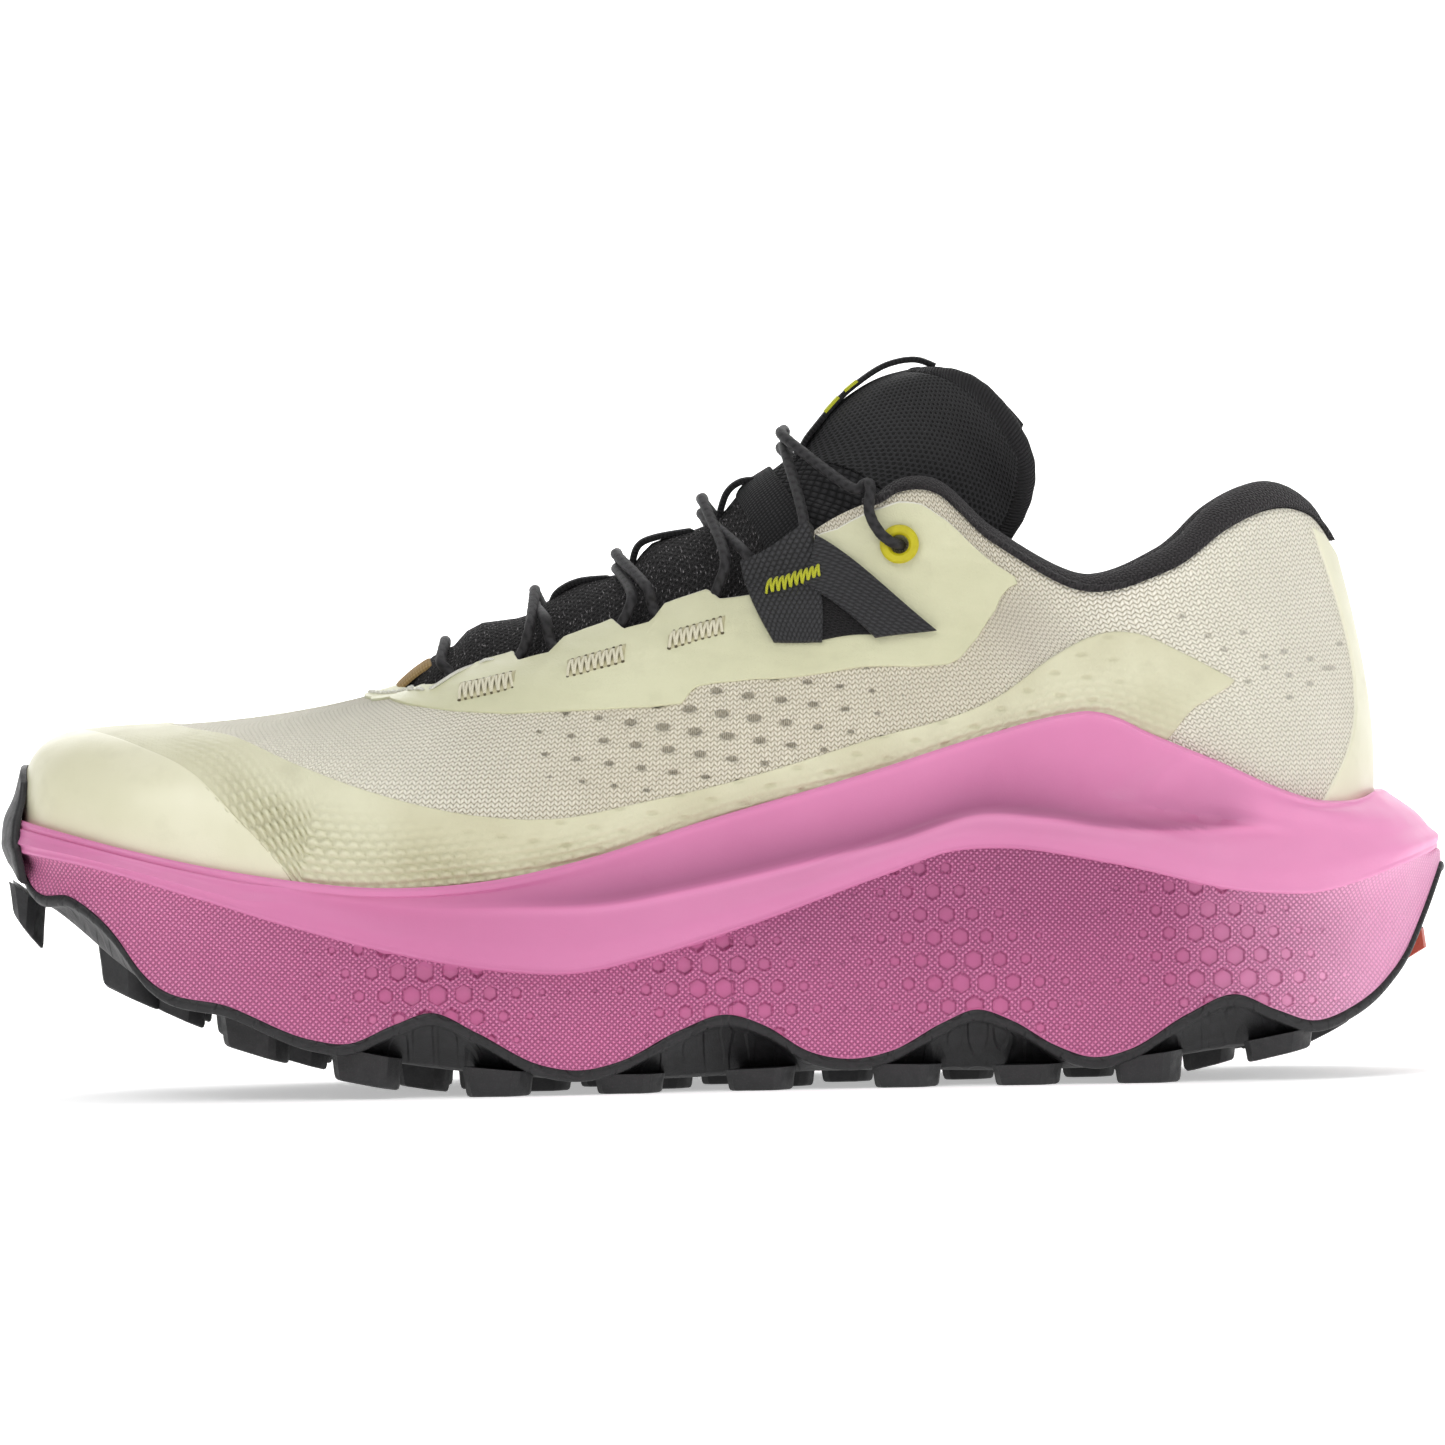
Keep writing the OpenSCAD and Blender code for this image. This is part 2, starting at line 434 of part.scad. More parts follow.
// midfoot strap corners: [station, height fraction]
strap_top = [[8.72,.985],[9.95,.985]];
strap_bottom = [[9.1,.765],[11.2,.69]];
module strap(side) color([.2,.2,.21]) side_patch(side,
  function(a,b) lerp(lerp(strap_bottom[0],strap_bottom[1],a),lerp(strap_top[0],strap_top[1],a),b),
  10,8,trim_in,trim_in+strap_t);
module strap_medial() strap(-1);
module strap_lateral() strap(1);
// stitched bar between two places given as [station, height fraction]
module tack(side,start,end,width,off) side_patch(side,
  function(a,b) lerp(start,end,a)+[0,(b-.5)*width],8,2,off,off+tack_t);
// [start, end, width]
eyestay_tacks = [[[5.78,.775],[6.42,.79],.035],[[7,.785],[7.55,.81],.033],
  [[8,.825],[8.5,.85],.031]];
module eyestay_bartacks() color([.95,.94,.86])
  for(side=[-1,1]) for(t=eyestay_tacks) tack(side,t[0],t[1],t[2],trim_in);
module strap_bartacks() color([.8,.78,.1])
  for(side=[-1,1]) tack(side,[9.06,.93],[9.74,.905],.035,trim_in+strap_t+.35);
module toe_puff() color("gray") band(-4.4,4.4,24,function(R,u) .06,
  function(R,u) .12+.40*cos(u*18),4,-knit_t-1.1,-knit_t-.55);
module heel_counter() color("gray") patch(
  function(a,b) [13.6+10.8*a,lerp(.05,.30+.18*sin(180*a),b)],20,4,-knit_t-1.4,-knit_t-.35);
// half width of the heel film in stations: [share of its height, half width]
heel_film_half = [[0,2.15],[.3,1.0],[.55,.75],[.8,.9],[1,1.1]];
module heel_film() color([.92,.92,.81]) patch(
  function(a,b) [heel+along(heel_film_half,b)*(2*a-1),lerp(.19,.955,b)],12,10,film_in,film_out);

// ---- collar ----
// space taken by the padding: [station, thickness]
collar_pad = [[10.9,3.4],[12,4.2],[13.4,6.5],[15,7],[19,7]];
// lower edge of the lining: [station, height fraction]
collar_depth = [[10.9,.955],[11.5,.955],[12,.64],[12.7,.51],[13.4,.5],[15,.5],[19,.5]];
module collar_foam() {
  n=4;
  off=-knit_t-1.32;
  U=[for(i=[0:30]) 12.9+12.2*i/30];
  // half thickness on the first and last columns
  rows=function(fill) [for(u=U) let(R=rib(u),
      t=fill*(along(collar_pad,station(u))-2.6)*collar_foam_t/4.4)
    [for(j=[0:n]) skin(R,lerp(.54,.985,j/n),off-t*(j==0||j==n?.5:1))]];
  color("dimgray") between(rows(0),rows(1));
}
// lining folded over the collar edge
module collar_lining() {
  gap=knit_t+.3;
  n=3;
  U=[for(i=[0:34]) 10.9+16.2*i/34];
  row=function(u,inset) let(R=rib(u), k=station(u), pad=along(collar_pad,k),
      low=along(collar_depth,k), a=gap+inset, b=gap+pad-inset, r=(b-a)/2,
      rise=at_station(collar_rise,k-10)-pad/2, lift=[0,0,max(0,rise-1.2)],
      top=skin(R,1,-(a+b)/2)+[0,0,rise])
    concat([for(j=[0:n]) skin(R,lerp(low,1,j/n),-a)+(j==n?1:0)*lift],
      [for(t=[60,0,-60]) top+outward(u)*r*sin(t)+[0,0,r*cos(t)]],
      [for(j=[0:n]) skin(R,lerp(1,low,j/n),-b)+(j==0?1:0)*lift]);
  color([.26,.25,.25]) between([for(u=U) row(u,0)],[for(u=U) row(u,.7)]);
}

// ---- throat and tongue ----
// point at share b of an arch from the medial to the lateral rib, bent towards a ridge line
function arch(u,v,off,line,dz,b) = let(L=skin(rib(-u),v,off), H=skin(rib(u),v,off), m=(L+H)/2,
    c=2*on_line(m,line,dz)-m)
  L*(1-b)*(1-b)+c*(2*b*(1-b))+H*b*b;
// arched sheet; each face is [offset from the knit, height above the ridge line]
module throat_sheet(u0,u1,n,v,line,top,bottom,nb,b0=0,b1=1) {
  rows=function(face) [for(i=[0:n]) [for(j=[0:nb])
    arch(lerp(u0,u1,i/n),v,face[0]-knit_t,line,face[1],lerp(b0,b1,j/nb))]];
  between(rows(top),rows(bottom),flip=true);
}
module throat_gusset() color([.13,.13,.14])
  throat_sheet(1.2,8.8,22,.985,gusset_line,[-1.1,0],[-2.2,-1.2],10);
module tongue_base() color([.15,.15,.16])
  throat_sheet(1.4,9.5,20,.975,base_line,[-2.9,0],[-5.1,-2.4],8);
module pocket_binding() color([.22,.22,.23])
  throat_sheet(8.45,8.95,4,.985,gusset_line,[-.8,1.3],[-.8,.35],8,b0=.16,b1=.84);

// padded tongue: a runs from -1 medial to 1 lateral, b from 0 at the bottom to 1 at the top
tongue_ridge = [[0,16,109.8],[.2,19.4,118.6],[.4,23.2,126],[.6,27.6,132],[.8,33,138],
  [1,40,143.3]];                                                     // [b, x, z]
tongue_wing = [[0,46,99],[.2,53,103],[.4,59.5,108.5],[.6,62.5,114],[.8,63.6,119.5],
  [1,63.4,124.6]];                                                   // [b, x, z]
tongue_half_w = [[0,14.5],[.3,16.5],[.55,18],[.75,21],[1,24]];       // [b, y]
function column(table,b,c) = along([for(r=table) [r[0],r[c]]],b);
function tongue_mid(a,b) = let(angle=90*abs(a), e=1-cos(angle))
  [lerp(column(tongue_ridge,b,1),column(tongue_wing,b,1),e),
   midline+sign(a)*along(tongue_half_w,b)*sin(angle),
   lerp(column(tongue_ridge,b,2),column(tongue_wing,b,2),pow(e,2.5))];
function tongue_point(a,b,off) = tongue_mid(a,b)+off*unit(cross(
  tongue_mid(a,b+.02)-tongue_mid(a,b-.02),tongue_mid(a+.02,b)-tongue_mid(a-.02,b)));
// grid of tongue points with its own offset on the border
function tongue_grid(na,nb,reach,b0,b1,off,border) = [for(i=[0:na]) [for(j=[0:nb])
  tongue_point((-1+2*i/na)*reach,lerp(b0,b1,j/nb),i==0||i==na||j==0||j==nb?border:off)]];
module tongue_pad() color([.17,.17,.18])
  between(tongue_grid(20,9,.97,.02,.96,0,0),tongue_grid(20,9,.97,.02,.96,-5.2,-2.86));
module tongue_lining() color([.1,.1,.1])
  between(tongue_grid(18,8,.86,.08,.88,-5.7,-5.7),tongue_grid(18,8,.86,.08,.88,-6.5,-6.5));
// cord around the sides and top of the tongue
module tongue_binding() color([.2,.19,.2]) {
  side=function(s,b) tongue_point(s,b,-1.6)+[.7,s*.2,0]*2.2*(.5+b/2);
  cord(concat([for(b=[.05:.1:.95]) side(-1,b)],
    [for(a=[-.94:.094:.95]) let(t=90*abs(a))
      tongue_point(a,1,-1.6)+[.2+1.2*sin(t),0,2.0-.6*sin(t)]],
    [for(b=[.95:-.1:.05]) side(1,b)]),1.4,7);
}
// centre line of the pull band: [x, y, z]
pull_path = [[17.4,0,122.6],[19,0,129],[24,0,135],[31,0,141],[35.5,0,143.4],[38,0,144.2]];
module pull_band() color([.15,.15,.16]) {
  P=smooth(pull_path,4);
  rows=function(off) [for(i=[0:len(P)-1]) let(t=tangent(P,i))
    [for(y=[-5,0,5]) [P[i].x,midline+y,P[i].z]+[-t.z,0,t.x]*off]];
  between(rows(.4),rows(-.4),flip=true);
}

// ---- lacing ----
module eyelet_ring(side) color([.8,.77,.1]) {
  bore=ring_bore/2;
  rim=ring_d/2;
  at_ring(side) rotate_extrude($fn=48) polygon([[bore,-knit_t-.4],[bore+.7,-knit_t-.4],
    [bore+.7,film_out+.35],[rim-.3,film_out+.35],[rim,film_out+.7],[rim-.4,film_out+1.3],
    [bore+.5,film_out+1.4],[bore,film_out+.9]]);
}
module eyelet_ring_medial() eyelet_ring(-1);
module eyelet_ring_lateral() eyelet_ring(1);

lace_r = lace_d/2;
// lace crossings over the throat: [x, z, half width, drop at the sides, drop at the centre]
crossings = [[-55,90.2,5,.5,0],[-36.7,98.2,5,0,0],[-19.9,105.2,5,0,0],[-2.4,115.9,6,.3,0],
  [14.2,129.4,8,1.2,.1]];
// turns at the throat edge after each crossing: [station, height fraction, offset, dx, dz]
turns = [
  [[4.55,1,2.6,0,1.4],[4.85,.97,2.9,0,0],[5.4,.955,2.4,0,0],[5.9,.99,2.6,0,0],
   [6.05,1,1.6,0,2.6]],
  [[6.5,1,1.8,0,2.4],[6.72,.97,2.6,0,0],[7.0,.955,2.4,0,0],[7.25,.985,2.5,0,0],
   [7.45,1,1.4,0,2.8]],
  [[7.65,1,1.8,0,2.4],[7.85,.97,2.6,0,0],[8.1,.965,2.4,0,0],[8.3,1,2.2,0,.8],
   [8.5,1,1.2,0,4.5]],
  [[9.2,1,1,-1,5.2],[9.35,1,2.6,0,3],[9.7,1,1.5,0,5.4]],
  [[10.5,1,.6,0,4.6],[10.9,1,2.4,0,2.8],[11.02,.96,3.2,0,0],[ring_station,ring_height,3,0,0],
   [ring_station,ring_height,-knit_t-2.2,0,0]]];
function cross_point(i,dy,dz) = [crossings[i][0],midline+dy,crossings[i][1]+dz];
// the medial half (side -1) passes over the lateral half
function crossing(i,side,from) = let(c=crossings[i], dz=(side<0?1.4:-1.4)-c[3])
  [cross_point(i,from*c[2],dz),cross_point(i,0,(side<0?1.6:-1.2)-c[4]),
   cross_point(i,-from*c[2],dz)];
function turn_points(i,side) = [for(t=turns[i]) skin(rib(side*t[0]),t[1],t[2])+[t[3],0,t[4]]];
function half_lace(side) = concat(
  [cross_point(0,0,0),cross_point(0,side*crossings[0][2],-crossings[0][3])],
  turn_points(0,side),
  [for(i=[1:4]) let(from=i%2==1?side:-side)
    each concat(crossing(i,side,from),turn_points(i,-from))]);
module lace() color([.16,.15,.16]) {
  medial=half_lace(-1);
  lateral=half_lace(1);
  cord(smooth(concat([for(i=[len(medial)-1:-1:0]) medial[i]],
    [for(i=[1:len(lateral)-1]) lateral[i]]),2),lace_r,6);
}

// ---- cord lock, X along its length in its own frame ----
lock_x_axis = [.77,0,.638];
lock_z_axis = [-.638,0,.77];
lock_centre = [5.6,midline,111.7];
lock_front = -lock_l/2;
lock_body_end = lock_l*.22;
lane_y = 2.6;      // lace lanes either side of the lock's middle
module lock_frame() multmatrix([
  [lock_x_axis.x,0,lock_z_axis.x,lock_centre.x],
  [0,1,0,lock_centre.y],
  [lock_x_axis.z,0,lock_z_axis.z,lock_centre.z],
  [0,0,0,1]]) children();
module lanes(x,r,h)
  for(s=[-1,1]) translate([x,s*lane_y,0]) rotate([0,90,0]) cylinder(r=r,h=h,$fn=32);
module lock_body() color([.1,.1,.1]) lock_frame() difference() {
  rotate([0,90,0]) translate([0,0,lock_front]) linear_extrude(lock_l*.72)
    offset(r=1.2,$fn=24) square([lock_h-2.4,lock_w-2.4],center=true);
  lanes(lock_front-1,lace_r+.05,lock_l+2);
  translate([lock_front+3,0,0]) rotate([0,90,0]) cylinder(r=1.05,h=lock_l,$fn=32);
}
// push button with its stem
module lock_button() color([.25,.25,.26]) lock_frame() difference() {
  union() {
    rotate([0,90,0]) translate([0,0,lock_body_end+1.9]) linear_extrude(lock_l*.28-1.5)
      offset(r=1.2,$fn=24) square([lock_h-2.8,lock_w-2.8],center=true);
    translate([-.2,0,0]) rotate([0,90,0]) cylinder(r=.95,h=lock_body_end+2.4,$fn=32);
  }
  lanes(0,lace_r+.2,lock_l);
}
module lock_spring() color("silver") lock_frame() {
  steps=40;        // eight to a coil
  coil_r=.72;
  coil_l=2.6;
  cord([for(i=[0:steps]) [lock_front+3.5+coil_l*i/steps,coil_r*cos(i*45),coil_r*sin(i*45)]],
    .14,5);
}
module lace_end_cap() color([.2,.2,.2]) lock_frame() lanes(lock_front-3.2,1.5,2.4);

outsole();
heel_insert();
midsole();
strobel_board();
insole_foam();
insole_cover();
heel_counter();
toe_puff();
upper_knit();
toe_cap();
foxing_film_medial();
foxing_film_lateral();
eyestay_film();
strap_medial();
strap_lateral();
eyestay_bartacks();
strap_bartacks();
heel_film();
collar_foam();
collar_lining();
throat_gusset();
tongue_base();
pocket_binding();
tongue_pad();
tongue_lining();
tongue_binding();
pull_band();
lace();
eyelet_ring_medial();
eyelet_ring_lateral();
lock_body();
lock_button();
lock_spring();
lace_end_cap();
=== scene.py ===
"""Trail running shoe: the looks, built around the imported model.

The toe points to -x and the heel to +x, the medial side is at -y, the lateral side at +y, and
the ground is at z = 0. Shapes are worked out in millimetres; meshes are written in metres.

The upper is a surface with two coordinates. turn runs round the foot from 0 at the toe to 19 at
the heel, negative on the medial side. rise runs from 0 at the footbed to 1 at the opening's edge.
"""
import math
from functools import reduce

import bpy
import numpy as np
from mathutils import Vector, Matrix


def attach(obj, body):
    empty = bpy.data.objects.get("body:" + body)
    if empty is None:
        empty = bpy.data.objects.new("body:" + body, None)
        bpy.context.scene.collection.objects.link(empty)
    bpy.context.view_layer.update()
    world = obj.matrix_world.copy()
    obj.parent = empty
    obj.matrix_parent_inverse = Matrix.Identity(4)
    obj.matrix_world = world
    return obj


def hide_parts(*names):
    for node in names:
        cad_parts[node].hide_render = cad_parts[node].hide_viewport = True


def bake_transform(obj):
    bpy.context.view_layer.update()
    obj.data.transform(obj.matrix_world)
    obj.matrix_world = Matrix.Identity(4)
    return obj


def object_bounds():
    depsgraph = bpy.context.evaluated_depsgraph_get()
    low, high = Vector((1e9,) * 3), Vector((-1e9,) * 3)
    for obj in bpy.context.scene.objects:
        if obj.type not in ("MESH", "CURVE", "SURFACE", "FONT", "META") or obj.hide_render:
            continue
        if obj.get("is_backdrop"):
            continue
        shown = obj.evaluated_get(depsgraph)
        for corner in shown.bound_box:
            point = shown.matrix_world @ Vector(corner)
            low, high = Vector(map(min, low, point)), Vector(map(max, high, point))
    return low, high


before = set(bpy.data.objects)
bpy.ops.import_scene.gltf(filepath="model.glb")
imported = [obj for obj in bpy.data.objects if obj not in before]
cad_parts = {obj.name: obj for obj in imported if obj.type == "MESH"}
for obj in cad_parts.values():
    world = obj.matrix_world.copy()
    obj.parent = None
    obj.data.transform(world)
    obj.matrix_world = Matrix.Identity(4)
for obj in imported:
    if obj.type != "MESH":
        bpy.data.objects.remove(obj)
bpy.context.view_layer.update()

MIDDLE = -2.0                       # y of the shoe's middle
KNIT = 1.6                          # knit thickness
HEEL = 19                           # turn at the back of the heel
UP = np.array([0, 0, 1.])
SIDES = ((-1, "medial"), (1, "lateral"))


def pairs(*numbers):
    return np.array(numbers, float).reshape(-1, 2)


# ------------------------------------------------------------------ lines of the side view: x, z
lip_line = pairs(
    -145,57.5, -133.2,54.3, -117.2,50, -101.1,46.3, -85.1,43.5, -69,41.8, -56.9,41.8, -44.8,42.9,
    -28.7,46.2, -4.4,53.4, 28,62.2, 52.3,69.4, 68.5,73.3, 73,73.8, 78,72.8, 84.5,69.6, 100.5,62.6,
    108.5,58.8, 114,56.6, 118.5,55.4, 122.2,55.2, 126.5,55.5, 129.2,56.3, 131,57.2, 134,57.3,
    138,57.3)
crease_line = pairs(
    -85.1,40.3, -61,37.2, -40.9,36.8, -24.8,36.9, -4.6,40.1, 15.6,44.4, 35.8,48.8, 52,53.3,
    64,51.9, 76,49.2, 92,48.1, 106,48.6, 128,49.4, 140,50.4)
rim_line = pairs(
    -145,50.9, -125.3,47.1, -105.3,41.1, -85.3,34.7, -65.2,29.2, -45.2,25.4, -29.1,24.5,
    -14.9,27.3, 7.3,33.9, 31.6,42.4, 45.8,47, 55.9,47.4, 76,44.2, 106,37.8, 118,37.5, 126,39.2,
    136,42.4, 145,45.3)
wave_line = pairs(
    -145,50, -141,48.6, -137.4,42.9, -129.4,41, -121.5,34.6, -115,25.6, -97.6,18.8, -81.7,12.1,
    -75,11.2, -65.5,14.8, -58,17, -49.4,13, -37,6.3, -29,5, -21,6.6, -9.2,12.4, 0,15.3, 8,12.8,
    16,7.8, 24,6, 33,7.5, 43.1,12.8, 49.5,15.2, 57,12.8, 65,8, 73,5.4, 80,6.9, 91.5,13.7,
    101,17.4, 109,14.2, 117,11.8, 123.7,13.9, 131.8,19.7, 136,24.9, 140.2,33.3, 144,42)
belly_line = pairs(
    -145,49, -130,38, -118,28, -97.6,18.2, -76,11.2, -52,7, -29,5, 24,5.6, 73,5.4, 95,8,
    117,11.8, 130,18, 135.7,24.8, 140,31.2, 142.5,37.2, 144,40.6)
tread_line = pairs(
    -142,40, -136.6,31.7, -121.7,21.9, -110,16.3, -97.8,10.6, -87.8,7.3, -75.8,3.8, -61.8,1.1,
    -54,0, -52,0, 30,0, 84,0, 86,0, 96,1.5, 107,4.3, 115.5,6.4, 124.6,11, 136,22.3, 145,42)
bed_line = pairs(
    -139.5,51, -133,47.5, -125,44, -115,40.5, -105,37, -90,33.5, -75,31.5, -50,30.5, -20,31,
    10,32.5, 50,35, 90,37, 130,37.5)
foxing_line = pairs(
    -125,80, -116,77.2, -112,75, -106,73.6, -97.6,72.1, -84.6,66.5, -68.6,60.5, -48.6,55.7,
    -32.5,54.8, -16.4,57.5, -0.2,60.8, 28.1,68.7, 56.5,77.8, 66.7,85, 73.8,88.6, 79,89.6,
    84,88.9, 92,85.2, 103.3,79.0)
pad_line = pairs(
    -72,72.4, -62,76.6, -50,84.6, -40,88.4, -30,92.6, -20,96.2, -12,98.4, -6,99.8, 0,102.6,
    6,106.6, 13,108.6)
cap_line = pairs(-131,73.5, -126.4,73.3, -114.8,69.9, -103.8,64.2, -95.9,56, -84.1,42.7, -80,36)

# ------------------------------------------------------------------ lists with one value per turn
# Pairs of lists hold the medial side, then the lateral side; y counts from MIDDLE.
foot_x = (
    [-139.5,-138,-132.5,-119,-99,-80,-60,-38,-14,10,30,48,64,80,95,107,116.5,124,127.5,128.5],
    [-139.5,-138,-133,-121.5,-104,-83,-60,-38,-14,10,30,48,64,80,95,107,116.5,124,127.5,128.5])
foot_y = (
    [-9,-20,-30.5,-39.5,-44,-45.5,-45.5,-43,-38.5,-34.5,-32,-31,-31,-32,-32.5,-31.5,-27,-18.5,-9,0],
    [-9,2,14,27,37,43.8,47.5,48.5,47,44,41,38.5,37,36,34.5,32,27,18.5,9,0])
opening_x = [-64,-63.8,-62.2,-60,-56.5,-51,-40,-24,-6,9,21,32,43,55,73,90,102,112,119.5,123.5]
opening_y = (
    [-1.5,-4,-7,-9.5,-12,-14.5,-17,-19.5,-22,-24,-26,-28,-29,-30.5,-31,-28.5,-23,-15.5,-8,0],
    [-1.5,1,4.5,7.5,10.5,13.5,17,20,23,25.5,27.5,29,30,31,31,28.5,23,15.5,8,0])
opening_z = [81.2,81,80.6,80.6,82,84.8,88,93,98.6,103,112,116.7,118.3,108.3,98.3,101.5,109.5,
             113.5,112,107]
# handles of the upper's rising curves
rib_up = [33,32,30,27,24,22,22,22,22,22,22,22,22,20,18,18,20,22,23,23]
rib_bulge = [2,2.5,3,4,4.5,5,5,5,6,6,6,5,4,3,2.5,2.5,2.5,3,3.5,4]
rib_lean = [.15,.15,.15,.14,.12,.10,.08,.06,.04,.02,0,0,0,0,0,0,0,0,0,0]
rib_height = [.66,.68,.70,.72,.72,.72,.70,.66,.62,.58,.55,.52,.5,.5,.5,.5,.5,.5,.5,.5]
rib_reach = [32,31,28,24,20,18,18,18,20,22,24,26,26,20,16,16,18,20,22,22]
rib_pitch = [15,15,14,12,14,18,24,32,42,54,66,74,78,84,90,88,84,80,76,75]
# how far the midsole's rim stands outside the foot outline, and its ledge at the lip
rim_out = ([3.2,3.6,4.4,5.3,5.5,5.5,6,6.5,7,8,9,9.5,10,11,12,12.5,13,13.5,14.5,16],
           [3.2,3.8,5.2,7,8.4,9,9.5,9,9,9,9.5,10,10.5,11,12,12.5,13,13.5,14.5,16])
ledge = [0,0,0,0,0,0,0,0,0,0,0,0,0,0,.2,.5,.7,.6,.4,.3]


# ------------------------------------------------------------------ numbers and curves
def curve(points, x, column=1):
    "smooth curve through a table, level past its ends"
    xs, ys = points[:, 0], points[:, column]
    gaps = np.diff(xs)
    rates = np.diff(ys)/gaps
    slopes = np.empty(len(xs))
    slopes[0], slopes[-1] = rates[0], rates[-1]
    slopes[1:-1] = (rates[:-1]*gaps[1:] + rates[1:]*gaps[:-1])/(gaps[1:] + gaps[:-1])
    x = np.clip(np.asarray(x, float), xs[0], xs[-1])
    i = np.clip(np.searchsorted(xs, x, side="right") - 1, 0, len(xs)-2)
    gap = gaps[i]
    t = (x-xs[i])/gap
    return (ys[i]*(2*t**3-3*t**2+1) + slopes[i]*gap*(t**3-2*t**2+t)
            + ys[i+1]*(3*t**2-2*t**3) + slopes[i+1]*gap*(t**3-t**2))


def linear(points, x):
    return np.interp(x, points[:, 0], points[:, 1])


def spline(values, k, odd=False):
    "smooth value of a list at k; past its ends the list is mirrored, about the end value if odd"
    values = np.asarray(values, float)
    last = len(values)-1
    k = np.clip(np.asarray(k, float), 0, last)
    i = np.clip(np.floor(k).astype(int), 0, last-1)
    t = k-i

    def item(j):
        below, above = j < 0, j > last
        value = values[np.where(below, -j, np.where(above, 2*last-j, j))]
        if odd:
            value = np.where(below, 2*values[0]-value, np.where(above, 2*values[-1]-value, value))
        return value
    a, b, c, d = item(i-1), item(i), item(i+1), item(i+2)
    return .5*(2*b+(c-a)*t+(2*a-5*b+4*c-d)*t*t+(3*b-a-3*c+d)*t**3)


def lerp(a, b, t):
    return a + (b-a)*t


def ease(x, start, stop):
    t = np.clip((np.asarray(x, float)-start)/(stop-start), 0, 1)
    return t*t*(3-2*t)


def bell(x, width):
    return np.exp(-(x/width)**2)


def vec(x, y, z):
    return np.stack(np.broadcast_arrays(x, y, z), -1)


def unit(vectors):
    return vectors/np.maximum(np.linalg.norm(vectors, axis=-1, keepdims=True), 1e-12)


random = np.random.default_rng(11)
waves = [(random.normal(size=3), random.uniform(0, 6.28)) for _ in range(24)]


def fuzz(points, scale, kind=0):
    "smooth random field made of eight seeded waves, the same on every run"
    total = 0
    for j in range(8):
        direction, phase = waves[(j + kind*5) % 24]
        total = total + np.sin((points @ direction)/scale*(0.7 + .12*j) + phase + kind)
    return total/8


# ------------------------------------------------------------------ surface of the upper
def wrap(turn):
    turn = np.asarray(turn, float)
    return np.where(turn > HEEL, turn-2*HEEL, np.where(turn < -HEEL, turn+2*HEEL, turn))


def by_side(turn, lists, odd=False):
    turn = wrap(turn)
    k = np.abs(turn)
    return np.where(turn < 0, spline(lists[0], k, odd), spline(lists[1], k, odd))


def foot(turn):
    "outline of the footbed"
    x = by_side(turn, foot_x)
    return vec(x, by_side(turn, foot_y, True) + MIDDLE, curve(bed_line, x))


def opening(turn):
    k = np.abs(wrap(turn))
    return vec(spline(opening_x, k), by_side(turn, opening_y, True) + MIDDLE, spline(opening_z, k))


def outward(turn):
    along = foot(np.asarray(turn)+.05) - foot(np.asarray(turn)-.05)
    return unit(vec(-along[..., 1], along[..., 0], 0*along[..., 0]))


def handles(turn):
    "five control points of the upper's rising curve"
    k = np.abs(wrap(turn))

    def rib(values):
        return spline(values, k)[..., None]
    low, top = foot(turn), opening(turn)
    across = (top-low)*np.array([1, 1, 0])
    pitch = np.radians(rib(rib_pitch))
    swell = outward(turn)*rib(rib_bulge)
    return [low,
            low + UP*rib(rib_up) + swell,
            low + across*rib(rib_lean) + UP*(rib(rib_height)*(top-low)[..., 2:]) + swell*.6,
            top - rib(rib_reach)*(unit(across)*np.cos(pitch) + UP*np.sin(pitch)),
            top]


def bezier(points, t):
    t = np.asarray(t, float)[..., None]
    w = 1-t
    return (points[0]*w**4 + points[1]*(4*t*w**3) + points[2]*(6*t*t*w*w)
            + points[3]*(4*t**3*w) + points[4]*t**4)


def upper(turn, rise, off=0):
    "point of the upper, off mm outside it"
    turn, rise = np.broadcast_arrays(np.asarray(turn, float), np.asarray(rise, float))
    points = handles(turn)
    place = bezier(points, rise)
    if np.isscalar(off) and off == 0:
        return place
    upwards = bezier(points, np.minimum(rise+.01, 1.005)) - bezier(points, rise-.01)
    along = bezier(handles(turn+.06), rise) - bezier(handles(turn-.06), rise)
    return place + np.asarray(off, float)[..., None]*unit(np.cross(upwards, along))


def rise_at(turn, line):
    "rise at which the upper crosses a side-view line, by halving"
    turn = np.asarray(turn, float)
    points = handles(turn)
    low, high = np.zeros_like(turn), np.ones_like(turn)
    for _ in range(14):
        half = (low+high)/2
        place = bezier(points, half)
        below = place[..., 2] < curve(line, place[..., 0])
        low, high = np.where(below, half, low), np.where(below, high, half)
    return (low+high)/2


def on_line(points, line, lift=0):
    "the same points moved up or down onto a side-view line"
    return vec(points[..., 0], points[..., 1], curve(line, points[..., 0])+lift)


# ------------------------------------------------------------------ mesh helpers
# A part is (vertices, list of face arrays, uv or None).
SWAP = [0, 3, 2, 1]                 # turns a quad over, first corner kept


def grid(n, m, closed=False, start=0):
    i, j = np.meshgrid(np.arange(n if closed else n-1), np.arange(m-1), indexing="ij")
    after = (i+1) % n
    quads = [i*m+j, i*m+j+1, after*m+j+1, after*m+j]
    return np.stack(quads, -1).reshape(-1, 4) + start


def loft(rows, n):
    "quads between stacked closed rings of n points"
    row, i = np.meshgrid(np.arange(rows-1), np.arange(n), indexing="ij")
    after = (i+1) % n
    quads = [row*n+i, row*n+after, (row+1)*n+after, (row+1)*n+i]
    return np.stack(quads, -1).reshape(-1, 4)


